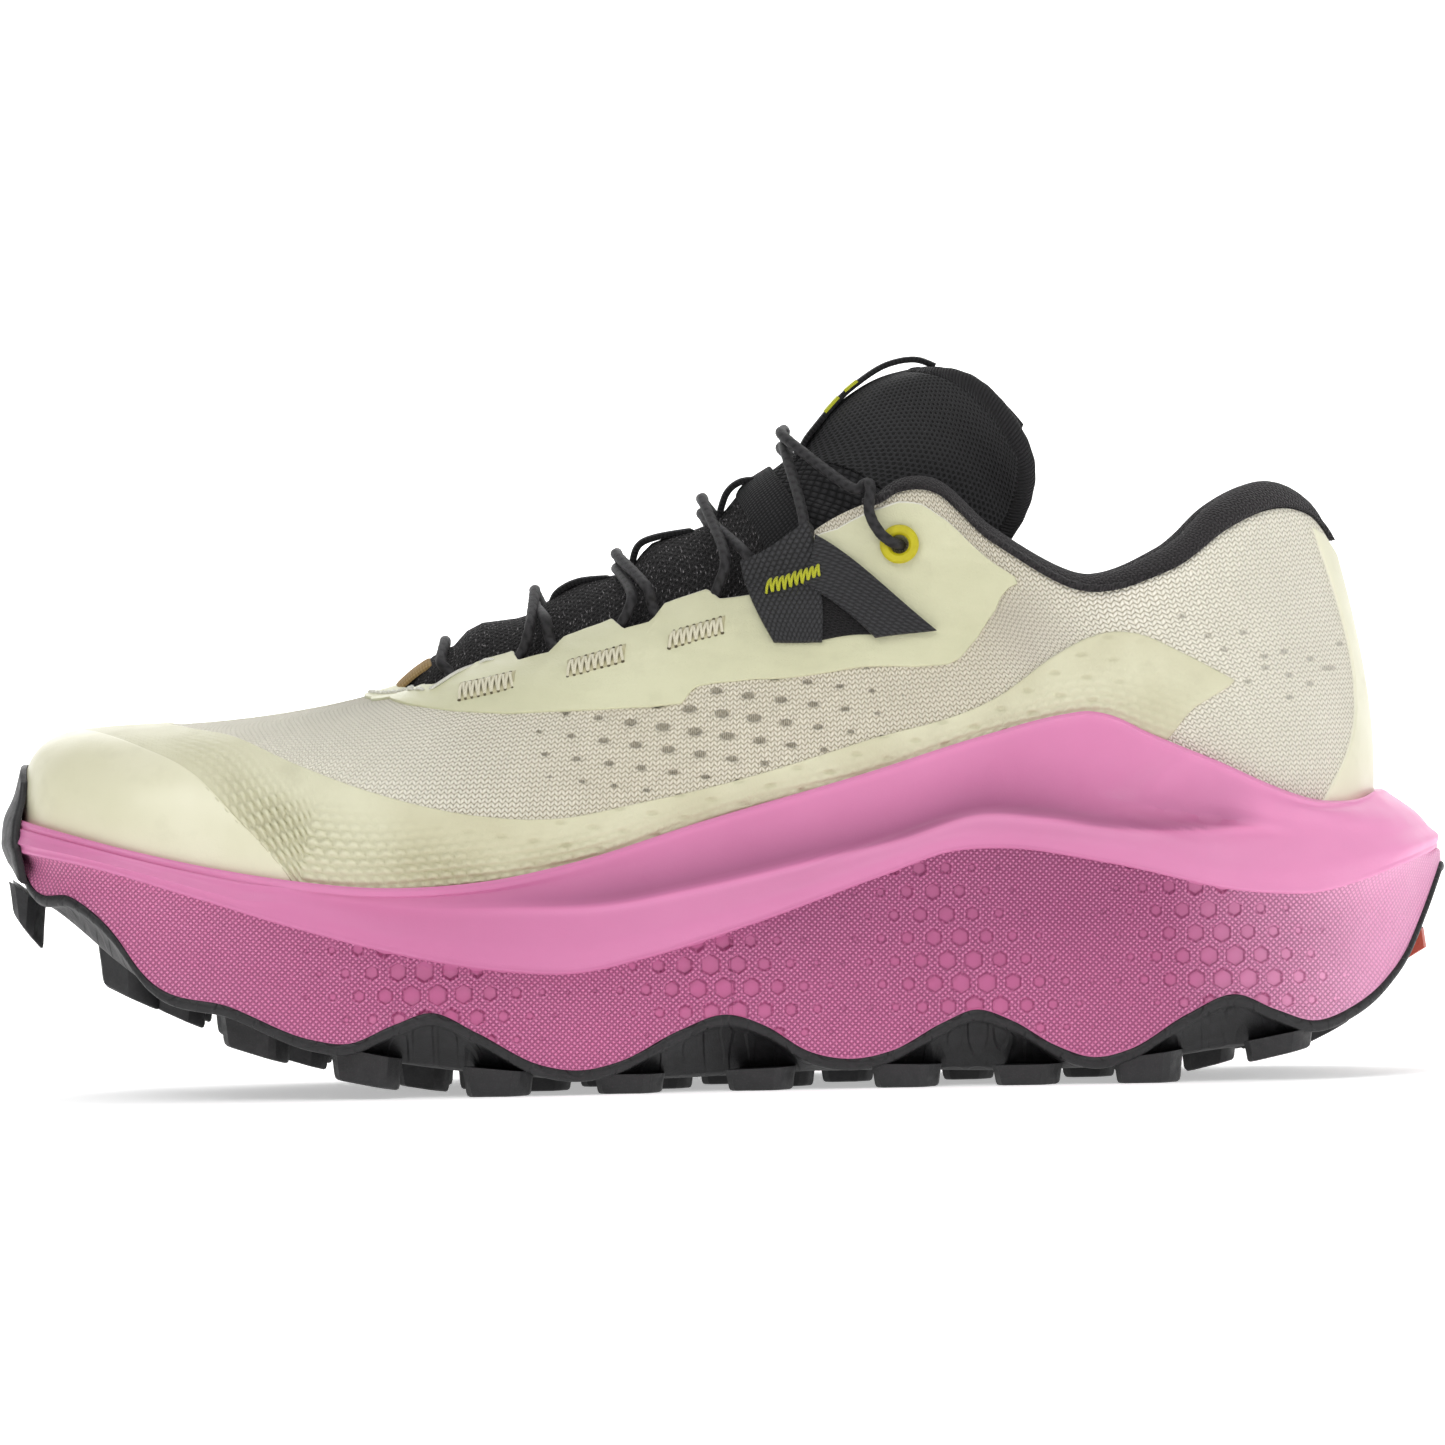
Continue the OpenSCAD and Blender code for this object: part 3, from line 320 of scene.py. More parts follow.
def volume(verts, polys):
    total = 0
    for faces in polys:
        for k in range(1, faces.shape[1]-1):
            corner = np.cross(verts[faces[:, k]], verts[faces[:, k+1]])
            total += np.einsum("ij,ij->", verts[faces[:, 0]], corner)
    return total


def add(name, part, material, replaces=(), sharp=0, body="shoe", attributes=None,
        wrap_u=None, wrap_v=None, keep_faces=False):
    "makes an object; wrap_u and wrap_v are the uv lengths at which a closed part starts again"
    verts, polys, uv = part
    verts = np.asarray(verts, float).reshape(-1, 3)
    polys = [faces for faces in polys if len(faces)]
    if not keep_faces and volume(verts - verts.mean(0), polys) < 0:
        polys = [faces[:, ::-1] for faces in polys]
    index = np.concatenate([faces.ravel() for faces in polys]).astype(np.int32)
    sizes = [np.full(len(faces), faces.shape[1]) for faces in polys]
    sizes = np.concatenate(sizes).astype(np.int32)
    mesh = bpy.data.meshes.new(name)
    mesh.vertices.add(len(verts))
    mesh.vertices.foreach_set("co", (verts/1000).astype(np.float32).ravel())
    mesh.loops.add(len(index))
    mesh.loops.foreach_set("vertex_index", index)
    mesh.polygons.add(len(sizes))
    starts = np.concatenate([[0], np.cumsum(sizes)[:-1]]).astype(np.int32)
    mesh.polygons.foreach_set("loop_start", starts)
    mesh.polygons.foreach_set("loop_total", sizes)
    mesh.polygons.foreach_set("use_smooth", np.ones(len(sizes), bool))
    mesh.update(calc_edges=True)
    if uv is not None:
        corners = np.asarray(uv, float).reshape(-1, 2)[index]
        face = np.repeat(np.arange(len(sizes)), sizes)
        for axis, total in ((0, wrap_u), (1, wrap_v)):
            if total:
                most = np.zeros(len(sizes))
                np.maximum.at(most, face, corners[:, axis])
                value = corners[:, axis]
                corners[:, axis] = np.where(most[face]-value > total*.5, value+total, value)
        layer = mesh.uv_layers.new(name="UVMap")
        layer.data.foreach_set("uv", corners.astype(np.float32).ravel())
    for key, values in (attributes or {}).items():
        layer = mesh.attributes.new(key, "FLOAT", "POINT")
        layer.data.foreach_set("value", np.asarray(values, np.float32).ravel())
    if sharp:
        mesh.set_sharp_from_angle(angle=math.radians(sharp))
    item = bpy.data.objects.new(name, mesh)
    bpy.context.scene.collection.objects.link(item)
    mesh.materials.append(material)
    if body:
        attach(item, body)
    if replaces:
        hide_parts(*replaces)
    return item


def lengths(points):
    "running length along the first axis"
    steps = np.linalg.norm(np.diff(points, axis=0), axis=-1)
    return np.concatenate([np.zeros_like(steps[:1]), np.cumsum(steps, 0)])


def arc_uv(points, share=.5):
    "uv in mm: u along the row at share of the width, v along each column"
    v = lengths(points.swapaxes(0, 1)).T
    u = lengths(points[:, int(share*(points.shape[1]-1))])
    return np.stack([np.broadcast_to(u[:, None], v.shape), v], -1)


def cross_uv(points):
    "the same with u along the second axis"
    return arc_uv(points.swapaxes(0, 1)).swapaxes(0, 1)


def normals(points):
    return unit(np.cross(np.gradient(points, axis=1), np.gradient(points, axis=0)))


def upward_normals(points, i, j):
    "normals on the side that faces up at grid point i, j"
    result = normals(points)
    return -result if result[i, j] @ UP < 0 else result


def zip_strip(fine, coarse, ratio):
    "triangles between a fine line of indices and one with ratio times fewer steps"
    half = ratio//2
    triangles = []
    for c in range(len(coarse)-1):
        for k in range(ratio):
            i = c*ratio+k
            triangles.append([fine[i], fine[i+1], coarse[c] if k < half else coarse[c+1]])
        triangles.append([fine[c*ratio+half], coarse[c+1], coarse[c]])
    return np.array(triangles)


def slab(outer, inner, ratio, uv, closed=False):
    "closed solid: fine outer grid, inner grid with ratio times fewer steps each way"
    count = outer.shape[0]*outer.shape[1]
    fine = np.arange(count).reshape(outer.shape[:2])
    coarse = count + np.arange(inner.shape[0]*inner.shape[1]).reshape(inner.shape[:2])
    polys = [grid(*fine.shape, closed), grid(*coarse.shape, closed, count)[:, ::-1]]
    if closed:
        fine, coarse = np.vstack([fine, fine[:1]]), np.vstack([coarse, coarse[:1]])
    polys += [zip_strip(fine[:, 0], coarse[:, 0], ratio)[:, ::-1],
              zip_strip(fine[:, -1], coarse[:, -1], ratio)]
    if not closed:
        polys += [zip_strip(fine[0], coarse[0], ratio),
                  zip_strip(fine[-1], coarse[-1], ratio)[:, ::-1]]
    uv = np.concatenate([uv.reshape(-1, 2), uv[::ratio, ::ratio].reshape(-1, 2)])
    return np.concatenate([outer.reshape(-1, 3), inner.reshape(-1, 3)]), polys, uv


def shell(outer, inner, uv=None):
    "closed solid between two grids of the same size"
    n, m = outer.shape[:2]
    a = np.arange(n*m).reshape(n, m)
    b = a + n*m

    def border(one, two):
        return np.stack([one[:-1], one[1:], two[1:], two[:-1]], -1)
    polys = [grid(n, m), grid(n, m, start=n*m)[:, ::-1],
             border(a[:, 0], b[:, 0]), border(a[:, -1], b[:, -1])[:, SWAP],
             border(a[0], b[0])[:, SWAP], border(a[-1], b[-1])]
    uv = arc_uv(outer) if uv is None else uv
    verts = np.concatenate([outer.reshape(-1, 3), inner.reshape(-1, 3)])
    return verts, polys, np.concatenate([uv.reshape(-1, 2)]*2)


def ends(n, length, steps=(.12, .4)):
    "0..1 with two short steps, in mm of the real length, at each end"
    first, second = (step/length for step in steps)
    return np.concatenate([[0, first], np.linspace(second, 1-second, n-4), [1-first, 1]])


def rounded(n, stop=True):
    "edge rounding that goes with ends()"
    result = np.ones(n)
    result[:2] = .42, .84
    if stop:
        result[-2:] = .84, .42
    return result


def rounding(n, m):
    return rounded(n)[:, None]*rounded(m)[None]


def catmull(points, t):
    "smooth curve through points, or through rows of points, at steps t"
    points = np.asarray(points, float)
    last = len(points)-1
    i = np.clip(np.floor(t).astype(int), 0, last-1)
    f = (t-i).reshape(t.shape+(1,)*(points.ndim-1))
    a, b, c, d = points[np.maximum(i-1, 0)], points[i], points[i+1], points[np.minimum(i+2, last)]
    return .5*(2*b+(c-a)*f+(2*a-5*b+4*c-d)*f*f+(3*b-a-3*c+d)*f**3)


def smooth_path(points, pieces, step):
    "smooth curve through points, cut in even steps of about step mm"
    points = catmull(points, np.linspace(0, len(points)-1, (len(points)-1)*pieces+1))
    run = lengths(points)
    even = np.linspace(0, run[-1], max(2, int(run[-1]/step)))
    return np.stack([np.interp(even, run, points[:, k]) for k in range(3)], -1)


def relax(path, passes):
    for _ in range(passes):
        path[1:-1] = (path[:-2]+2*path[1:-1]+path[2:])/4
    return path


def angles(sides):
    return np.linspace(0, 2*np.pi, sides, endpoint=False)


def tube(path, radius, sides=8, swell=0, first_normal=None):
    "closed tube along a path; radius may vary along it, swell is added point by point"
    tangent = unit(np.gradient(path, axis=0))
    normal = np.zeros_like(path)
    if first_normal is None:
        first_normal = [1, 0, 0] if abs(tangent[0] @ UP) > .8 else UP
    direction = np.array(first_normal, float)
    for i in range(len(path)):
        direction = direction - tangent[i]*(direction @ tangent[i])
        direction = direction/np.linalg.norm(direction)
        normal[i] = direction
    side = np.cross(tangent, normal)
    around = angles(sides)
    count = len(path)
    reach = np.broadcast_to(np.asarray(radius, float).reshape(-1, 1), (count, 1))
    reach = reach*np.ones((1, sides)) + swell
    verts = (path[:, None] + (reach*np.cos(around))[..., None]*normal[:, None]
             + (reach*np.sin(around))[..., None]*side[:, None])
    first = count*sides
    last_ring = (count-1)*sides
    j = np.arange(sides)
    after = (j+1) % sides
    caps = [np.stack([np.full(sides, first), j, after], -1),
            np.stack([np.full(sides, first+1), last_ring+after, last_ring+j], -1)]
    run = lengths(path)
    uv = np.broadcast_arrays(run[:, None], (around*np.mean(radius))[None])
    uv = np.concatenate([np.stack(uv, -1).reshape(-1, 2), [[0, 0], [run[-1], 0]]])
    verts = np.concatenate([verts.reshape(-1, 3), path[:1], path[-1:]])
    return verts, [loft(count, sides)[:, SWAP], np.concatenate(caps)], uv


def join(parts):
    "several closed parts in one"
    polys = []
    start = 0
    for verts, faces, _ in parts:
        polys += [group+start for group in faces]
        start += len(verts)
    uv = None if parts[0][2] is None else np.concatenate([part[2] for part in parts])
    return np.concatenate([part[0] for part in parts]), polys, uv


def ribbon(path, y):
    "grid that widens a path in the xz plane over the y values, and the path's normals"
    tangent = unit(np.gradient(path, axis=0))
    normal = vec(-tangent[:, 2], 0*tangent[:, 0], tangent[:, 0])
    return path[:, None] + np.array([0, 1, 0])*y[None, :, None], normal[:, None]


def tape(points, y, above, below, sag=0.):
    "flat tape over x, z points of the middle plane"
    path = smooth_path([[x, MIDDLE, z] for x, z in points], 10, .4)
    base, normal = ribbon(path, y)
    base[..., 2] -= sag*y**2
    edge = rounding(len(path), len(y))[..., None]
    return shell(base+normal*above*edge, base-normal*below*edge, arc_uv(base))


# ------------------------------------------------------------------ material helpers
def srgb(colour):
    c = np.asarray(colour, float)/255
    c = np.where(c <= .04045, c/12.92, ((c+.055)/1.055)**2.4)
    return (float(c[0]), float(c[1]), float(c[2]), 1.0)


def shade(colour, factor):
    return tuple(int(c*factor) for c in colour)


def operator(kind, swapped=False):
    def apply(a, b):
        return a.mat.math(kind, *((b, a) if swapped else (a, b)))
    return apply


class Wire:
    "an output socket; arithmetic on it makes math nodes"
    def __init__(self, mat, socket):
        self.mat = mat
        self.socket = socket

    __add__, __radd__ = operator("ADD"), operator("ADD", True)
    __sub__, __rsub__ = operator("SUBTRACT"), operator("SUBTRACT", True)
    __mul__, __truediv__, __pow__ = operator("MULTIPLY"), operator("DIVIDE"), operator("POWER")
    max, min, above = operator("MAXIMUM"), operator("MINIMUM"), operator("GREATER_THAN")

    def __abs__(self):
        return self.mat.math("ABSOLUTE", self)

    def clamp(self):
        self.socket.node.use_clamp = True
        return self

    def remap(self, span, to=(0., 1.)):
        return self.mat.node("MapRange", {0: self, 1: span[0], 2: span[1], 3: to[0], 4: to[1]})

    def split(self):
        return [Wire(self.mat, out) for out in
                self.mat.node("SeparateXYZ", {0: self}).socket.node.outputs]


def sine(wire):
    return wire.mat.math("SINE", wire)


def fract(value):
    return value.mat.math("FRACT", value) if isinstance(value, Wire) else value % 1


def root(value):
    return value.mat.math("SQRT", value) if isinstance(value, Wire) else np.sqrt(value)


class Mat:
    "a node material; colours are 0-255 sRGB"
    def __init__(self, name, roughness, specular=.5):
        self.material = bpy.data.materials.new(name)
        self.material.use_nodes = True
        self.tree = self.material.node_tree
        self.tree.nodes.clear()
        output = self.tree.nodes.new("ShaderNodeOutputMaterial")
        self.shader = self.tree.nodes.new("ShaderNodeBsdfPrincipled")
        self.tree.links.new(self.shader.outputs[0], output.inputs[0])
        self.set(Roughness=roughness, Specular_IOR_Level=specular)

    def set(self, **values):
        for name, value in values.items():
            self.feed(self.shader.inputs[name.replace("_", " ")], value)
        return self.material

    def feed(self, socket, value):
        if isinstance(value, Wire):
            self.tree.links.new(value.socket, socket)
        elif isinstance(value, tuple) and len(value) == 3 and socket.type == "RGBA":
            socket.default_value = srgb(value)
        else:
            socket.default_value = value

    def node(self, kind, inputs=None, output=0, **settings):
        node = self.tree.nodes.new("ShaderNode"+kind)
        for key, value in settings.items():
            setattr(node, key, value)
        for key, value in (inputs or {}).items():
            self.feed(node.inputs[key], value)
        return Wire(self, node.outputs[output])

    def math(self, kind, *values):
        return self.node("Math", dict(enumerate(values)), operation=kind)

    def uv(self):
        return self.node("UVMap")

    def turned(self, uv, angle, stretch=(1., 1., 1.)):
        turn = (0, 0, angle)
        return self.node("Mapping", {"Vector": uv, "Rotation": turn, "Scale": stretch})

    def place(self):
        "object coordinates in mm"
        metres = self.node("TexCoord", output="Object")
        return self.node("VectorMath", {0: metres, 1: (1000., 1000., 1000.)}, operation="MULTIPLY")

    def attribute(self, name):
        return self.node("Attribute", output="Fac", attribute_name=name)

    def noise(self, vector, scale, detail=3.):
        inputs = {"Vector": vector, "Scale": scale, "Detail": detail, "Roughness": .55}
        return self.node("TexNoise", inputs, output="Fac")

    def mix(self, share, start, to):
        return self.node("Mix", {0: share, 6: start, 7: to}, output=2, data_type="RGBA")

    def ramp(self, share, stops):
        ramp = self.node("ValToRGB", {0: share})
        elements = ramp.socket.node.color_ramp.elements
        while len(elements) < len(stops):
            elements.new(.5)
        for element, (position, colour) in zip(elements, stops):
            element.position = position
            element.color = srgb(colour)
        return ramp

    def bump(self, height, distance, strength=1., over=None):
        inputs = {"Height": height, "Distance": distance, "Strength": strength}
        if over is not None:
            inputs["Normal"] = over
        return self.node("Bump", inputs)


def hex_distance(x, y):
    "distance to the nearest centre of a hexagonal lattice of pitch 1"
    def one(shift):
        across = fract(x+shift) - .5
        upwards = (fract(y/1.732+shift) - .5)*1.732
        return root(across*across + upwards*upwards)
    return one(0.).min(one(.5))


def stitch(x, y):
    "height of a plain knit face: columns of V stitches, one per unit"
    arm = abs(fract(x)-.5)*2.
    loop = sine(fract(y-arm*.62)*math.pi)
    column = abs(sine(x*(2*math.pi)))
    return loop**.7*(.35 + column**.6*.65)


# Pits of the knit. These two work on arrays and on wires.
def pit_distance(x, z, half_x, half_z):
    "distance to the nearest pit of a slanted lattice, 1 at the edge of a pit"
    first = (x+11.4)*.12536 + (z-72.45)*-.19452
    second = (x+11.4)*-.0371 + (z-72.45)*-.22983
    first, second = fract(first+.5)-.5, fract(second+.5)-.5
    along = first*6.38 - second*5.4
    upwards = first*-1.03 - second*3.48
    return root((along/half_x)**2. + (upwards/half_z)**2.)


def pit_fade(x, z):
    "0 in the middle of the pitted field, growing outwards; 1.2 less this is the pit size"
    return root(((x+2.)/42.)**2. + ((z-73.-x*.1)/16.)**2.)


# loose pits by the heel: x, z
heel_pits = ((112.7,84.9), (108.7,84.0), (118.1,83.3), (105.2,79.1), (113.6,80.2), (121.8,81.4),
             (108.8,81.8), (113.5,75.8), (117.8,78.4), (100.6,85.6), (124.4,86.2), (97.4,88.4),
             (104.6,88.9), (92.3,92.4))


# ------------------------------------------------------------------ materials
def knit_mat():
    mat = Mat("knit", roughness=.85, specular=.25)
    dark, middle, light = (128, 118, 92), (232, 225, 204), (255, 251, 238)
    uv = mat.uv()
    u, v, _ = uv.split()
    wobble = mat.noise(uv, scale=.35, detail=2)
    column, row, row_tilt = 1.35, 1., 0.
    height = stitch(u/column + wobble*.5, v/row + u*row_tilt + wobble*.6)
    colour = mat.ramp(height, [(.1, dark), (.42, middle), (.85, light)])
    fibres = mat.noise(uv, scale=4., detail=2)
    patches = mat.noise(uv, scale=.05).remap(span=(.35, .7), to=(0., .1))
    colour = mat.mix(patches, colour, to=dark)
    colour = mat.mix(fibres.remap(span=(.4, .8), to=(0., .3)), colour, to=middle)
    # painted light towards the toe and heel, darker between
    x, _, z = mat.place().split()
    pale = x.remap(span=(55., 105.), to=(0., .32)) + x.remap(span=(-50., -90.), to=(0., .85))
    colour = mat.mix(pale, colour, to=(255, 251, 233))
    deep = x.remap(span=(-58., -20.), to=(0., .3))*x.remap(span=(78., 52.))
    colour = mat.mix(deep, colour, to=(206, 192, 160))
    distance = pit_distance(x, z, half_x=1.65, half_z=.85)
    size = (1.2 - pit_fade(x, z)).clamp()
    shown = size.above(.28)
    pits = (distance/size.max(.02)).remap(span=(.75, 1.05), to=(1., 0.))*shown
    loose = []
    for pit_x, pit_z in heel_pits:
        half = 1.0 if int(pit_x*10) % 3 else 1.9     # a few are wider
        distance = root(((x-pit_x)/half)**2. + ((z-pit_z)/.62)**2.)
        loose.append(distance.remap(span=(.55, 1.05), to=(.6, 0.)))
    pits = pits.max(reduce(Wire.max, loose))
    thread = mat.mix(abs(sine(x*7.5)), start=(104, 98, 84), to=(186, 178, 158))
    colour = mat.mix(pits*.8, colour, thread)
    normal = mat.bump(height - pits*1.1, distance=.00035)
    normal = mat.bump(fibres, distance=.00008, strength=.6, over=normal)
    return mat.set(Base_Color=colour, Normal=normal, Sheen_Weight=.2, Sheen_Roughness=.5)


def film_mat(name, colour, second, roughness, grain, coat=.12, stitch_depth=0.):
    "smooth film; with a stitch depth the knit shows through in patches"
    mat = Mat(name, roughness, specular=.45)
    place = mat.place()
    middle = mat.noise(place, scale=.16, detail=4)
    fine = mat.noise(place, scale=3.2)
    patches = mat.noise(place, scale=.035).remap(span=(.35, .68))
    base = mat.mix(patches, colour, second)
    base = mat.mix(middle.remap(span=(.55, .8), to=(0., .35)), base, shade(second, .93))
    # painted highlight along the film edges that the edge attribute marks
    base = mat.mix((mat.attribute("edge")*.85).clamp(), base, to=(248, 246, 238))
    # painted shade where the relief attribute is set, between the foxing's scales and in its pits
    base = mat.mix((mat.attribute("relief")*.5).clamp(), base, to=(158, 152, 112))
    normal = mat.bump(middle*1.6 + fine*.5, distance=grain*4, strength=.7)
    if stitch_depth:
        uv = mat.uv()
        u, v, _ = uv.split()
        rows = v/1.1 + mat.noise(uv, scale=.2, detail=2)*1.2
        patches = mat.noise(place, scale=.09, detail=2).remap(span=(.35, .65), to=(.15, 1.))
        knit = stitch(u/1.3, rows)*patches
        normal = mat.bump(knit, stitch_depth, strength=.6, over=normal)
    gloss = middle.remap(span=(.3, .8), to=(roughness-.06, roughness+.1))
    return mat.set(Base_Color=base, Normal=normal, Roughness=gloss, Coat_Weight=coat,
                   Coat_Roughness=.35)


def foam_mat(name, wall=False):
    "midsole foam; the wall version has a cross-hatch"
    mat = Mat(name, roughness=.42)
    place = mat.place()
    x, _, z = place.split()
    middle = mat.noise(place, scale=.25)
    pores = mat.noise(place, scale=2.6, detail=4)
    if wall:
        # painted shade under the rim: darker at the top of the wall, lighter towards the hem;
        # painted light towards the toe
        colour = mat.mix(z.remap(span=(34., 9.)), start=(194, 98, 148), to=(226, 124, 174))
        colour = mat.mix(x.remap(span=(-62., -118.)), colour, to=(230, 132, 180))
        heel_span, heel_painted_light = (88., 128.), (255, 182, 220)
    else:
        # painted light: lighter towards the top
        colour = mat.mix(z.remap(span=(8., 72.)), start=(204, 116, 162), to=(222, 134, 180))
        heel_span, heel_painted_light = (74., 140.), (244, 160, 204)
    # painted light towards the heel
    colour = mat.mix(x.remap(heel_span), colour, heel_painted_light)
    patches = mat.noise(place, scale=.03).remap(span=(.4, .7), to=(0., .25))
    colour = mat.mix(patches, colour, to=(190, 106, 150))
    relief = mat.attribute("relief")     # painted shade where positive, painted light where negative
    colour = mat.mix((relief*.6).clamp(), colour, to=(128, 62, 100))
    colour = mat.mix((relief*-1.*.8).clamp(), colour, to=(240, 158, 202))
    normal = mat.bump(pores + middle*2., distance=.00005, strength=.7)
    if wall:
        u, v, _ = mat.uv().split()
        hatch = mat.attribute("hatch")

        def lines(cosine, sine_, pitch):
            return abs(fract(u*(cosine/pitch) + v*(sine_/pitch)) - .5)*2.
        cross = lines(cosine=.743, sine_=.669, pitch=.84)
        cross = cross.max(lines(cosine=.643, sine_=-.766, pitch=.84))
        groove = cross.remap(span=(.5, .92))*hatch
        # painted shade in the grooves and painted highlight on the crowns between them, over the
        # bump
        colour = mat.mix(groove*.42, colour, to=(104, 44, 80))
        crown = cross.remap(span=(.55, .15))*hatch*.3
        colour = mat.mix(crown, colour, to=(246, 176, 212))
        normal = mat.bump(1. - groove, distance=.00028, over=normal)
    gloss = middle.remap(span=(.3, .7), to=(.36, .5))
    return mat.set(Base_Color=colour, Normal=normal, Roughness=gloss, Subsurface_Weight=.06,
                   Subsurface_Scale=.002, Subsurface_Radius=(1, .4, .6))


def rubber_mat(name, colour, second, roughness):
    mat = Mat(name, roughness)
    place = mat.place()
    fine = mat.noise(place, scale=3.)
    middle = mat.noise(place, scale=.5)
    base = mat.mix(mat.noise(place, scale=.06).remap(span=(.35, .7)), colour, second)
    pale = tuple(min(255, c+26) for c in second)
    base = mat.mix(fine.remap(span=(.5, .8), to=(0., .35)), base, pale)
    gloss = middle.remap(span=(.3, .7), to=(roughness-.08, roughness+.12))
    normal = mat.bump(fine+middle, distance=.00007, strength=.8)
    return mat.set(Base_Color=base, Normal=normal, Roughness=gloss)


def sheet_mat():
    "rubber with a faint hexagon relief"
    mat = Mat("outsole_rubber_sheet", roughness=.5)
    place = mat.place()
    x, y, z = place.split()
    fine = mat.noise(place, scale=3.)
    middle = mat.noise(place, scale=.5)
    cell = hex_distance(x/5., (y+z)/5.).remap(span=(.36, .44))
    colour = mat.mix(middle.remap(span=(.35, .7)), start=(20, 20, 21), to=(31, 31, 33))
    normal = mat.bump(cell, distance=.0003, strength=.7)
    normal = mat.bump(fine+middle, distance=.00007, strength=.8, over=normal)
    return mat.set(Base_Color=colour, Normal=normal)


def mesh_mat(name, base, fleck, size=1.):
    "warp-knit mesh: dark openings between rows of loops, with flecks of thread if given"
    mat = Mat(name, roughness=.8, specular=.3)
    uv = mat.uv()
    u, v, _ = uv.split()
    wobble = mat.noise(uv, scale=.5, detail=2)
    x = (u + wobble*.8)/(1.25*size)
    y = (v + wobble*.8)/(1.1*size)
    hole = hex_distance(x, y).remap(span=(.2, .36), to=(1., 0.))
    height = 1. - hole
    loops = stitch(x*2., y*2.)
    colour = mat.mix(hole, mat.mix(loops, shade(base, .6), base), shade(base, .35))
    if fleck:
        spots = mat.noise(mat.turned(uv, .5, stretch=(1., 3.2, 1.)), scale=.95, detail=2)
        colour = mat.mix(spots.remap(span=(.6, .7))*height, colour, fleck)
    normal = mat.bump(height + loops*.4, distance=.00045, strength=.9)
    return mat.set(Base_Color=colour, Normal=normal, Sheen_Weight=.06, Sheen_Roughness=.4)


def spacer_mat():
    "spacer mesh: hexagonal openings whose depth follows the cell attribute"
    mat = Mat("spacer_mesh", roughness=.62, specular=.4)
    uv = mat.uv()
    u, v, _ = uv.split()
    pitch = 1.12
    cell = mat.attribute("cell")
    hole = hex_distance(u/pitch, v/pitch).remap(span=(.27, .4), to=(1., 0.))
    fibres = mat.noise(uv, scale=5., detail=2)
    rib = mat.mix(fibres, start=(30, 30, 31), to=(56, 56, 58))
    colour = mat.mix(hole*cell.remap(span=(0., 1.), to=(.55, 1.)), rib, to=(3, 3, 3))
    normal = mat.bump(1. - hole*cell, distance=.0005)
    normal = mat.bump(fibres, distance=.00008, strength=.6, over=normal)
    return mat.set(Base_Color=colour, Normal=normal, Sheen_Weight=.06, Sheen_Roughness=.4)


def twill_mat(name, angle, pitch=.95):
    mat = Mat(name, roughness=.62, specular=.4)
    uv = mat.uv()
    u, v, _ = mat.turned(uv, angle).split()
    across = u/pitch
    row = mat.math("FLOOR", across)
    along = v/(pitch*1.25) + row*.5
    height = sine(fract(across)*math.pi)**.6*sine(fract(along)*math.pi)**.45
    fibres = mat.noise(uv, scale=5., detail=2)
    yarn = mat.mix(fibres, start=(27, 27, 29), to=(68, 68, 71))
    colour = mat.mix(height, start=(10, 10, 11), to=yarn)
    return mat.set(Base_Color=colour, Normal=mat.bump(height, distance=.00028), Sheen_Weight=.05)


def cloth_mat(name, base, light, pitch_x, pitch_y, depth=.0003, sheen=.4, kind="stitch", angle=0.):
    mat = Mat(name, roughness=.85, specular=.3)
    uv = mat.uv()
    u, v, _ = mat.turned(uv, angle).split()
    wobble = mat.noise(uv, scale=.4, detail=2)
    x = u/pitch_x + wobble*.5
    if kind == "rib":
        height = abs(sine(x*math.pi))
    else:
        y = v/pitch_y + wobble*.5
        if kind == "stitch":
            height = stitch(x, y)
        else:
            height = abs(sine(x*math.pi))*abs(sine(y*math.pi))
    fibres = mat.noise(uv, scale=4.)
    share = height*fibres.remap(span=(.25, .75), to=(.4, 1.))
    normal = mat.bump(height, depth, strength=.9)
    normal = mat.bump(fibres, distance=.0001, strength=.6, over=normal)
    return mat.set(Base_Color=mat.mix(share, base, light), Normal=normal, Sheen_Weight=sheen,
                   Sheen_Roughness=.45)


def cord_mat():
    mat = Mat("cord", roughness=.6, specular=.4)
    fibres = mat.noise(mat.uv(), scale=6., detail=2)
    # painted highlight on the crowns of the braid's strands and painted shade between them, from
    # the relief attribute
    share = mat.attribute("relief").remap(span=(.45, 1.1))
    share = share*fibres.remap(span=(.3, .7), to=(.5, 1.))
    colour = mat.mix(share, start=(2, 2, 3), to=(58, 56, 59))
    normal = mat.bump(fibres, distance=.0001, strength=.7)
    return mat.set(Base_Color=colour, Normal=normal, Sheen_Weight=.05)


def plastic_mat(name, colour, second, roughness, coat=.2, metallic=0.):
    mat = Mat(name, roughness)
    place = mat.place()
    middle = mat.noise(place, scale=.5)
    base = mat.mix(middle.remap(span=(.35, .7)), colour, second)
    normal = mat.bump(mat.noise(place, scale=6., detail=2), distance=.00003, strength=.8)
    gloss = middle.remap(span=(.3, .7), to=(roughness-.05, roughness+.08))
    return mat.set(Base_Color=base, Normal=normal, Roughness=gloss, Coat_Weight=coat,
                   Coat_Roughness=.3, Metallic=metallic)


def thread_mat(name, light, dark):
    mat = Mat(name, roughness=.55)
    u, v, _ = mat.uv().split()
    twist = abs(sine(u*9. + v*8.))
    normal = mat.bump(twist, distance=.0001, strength=.8)
    return mat.set(Base_Color=mat.mix(twist, dark, light), Normal=normal, Sheen_Weight=.15)


def paper_mat():
    mat = Mat("studio_paper", roughness=.9, specular=.2)
    return mat.set(Base_Color=(252, 252, 252), Emission_Color=(255, 255, 255),
                   Emission_Strength=.42)


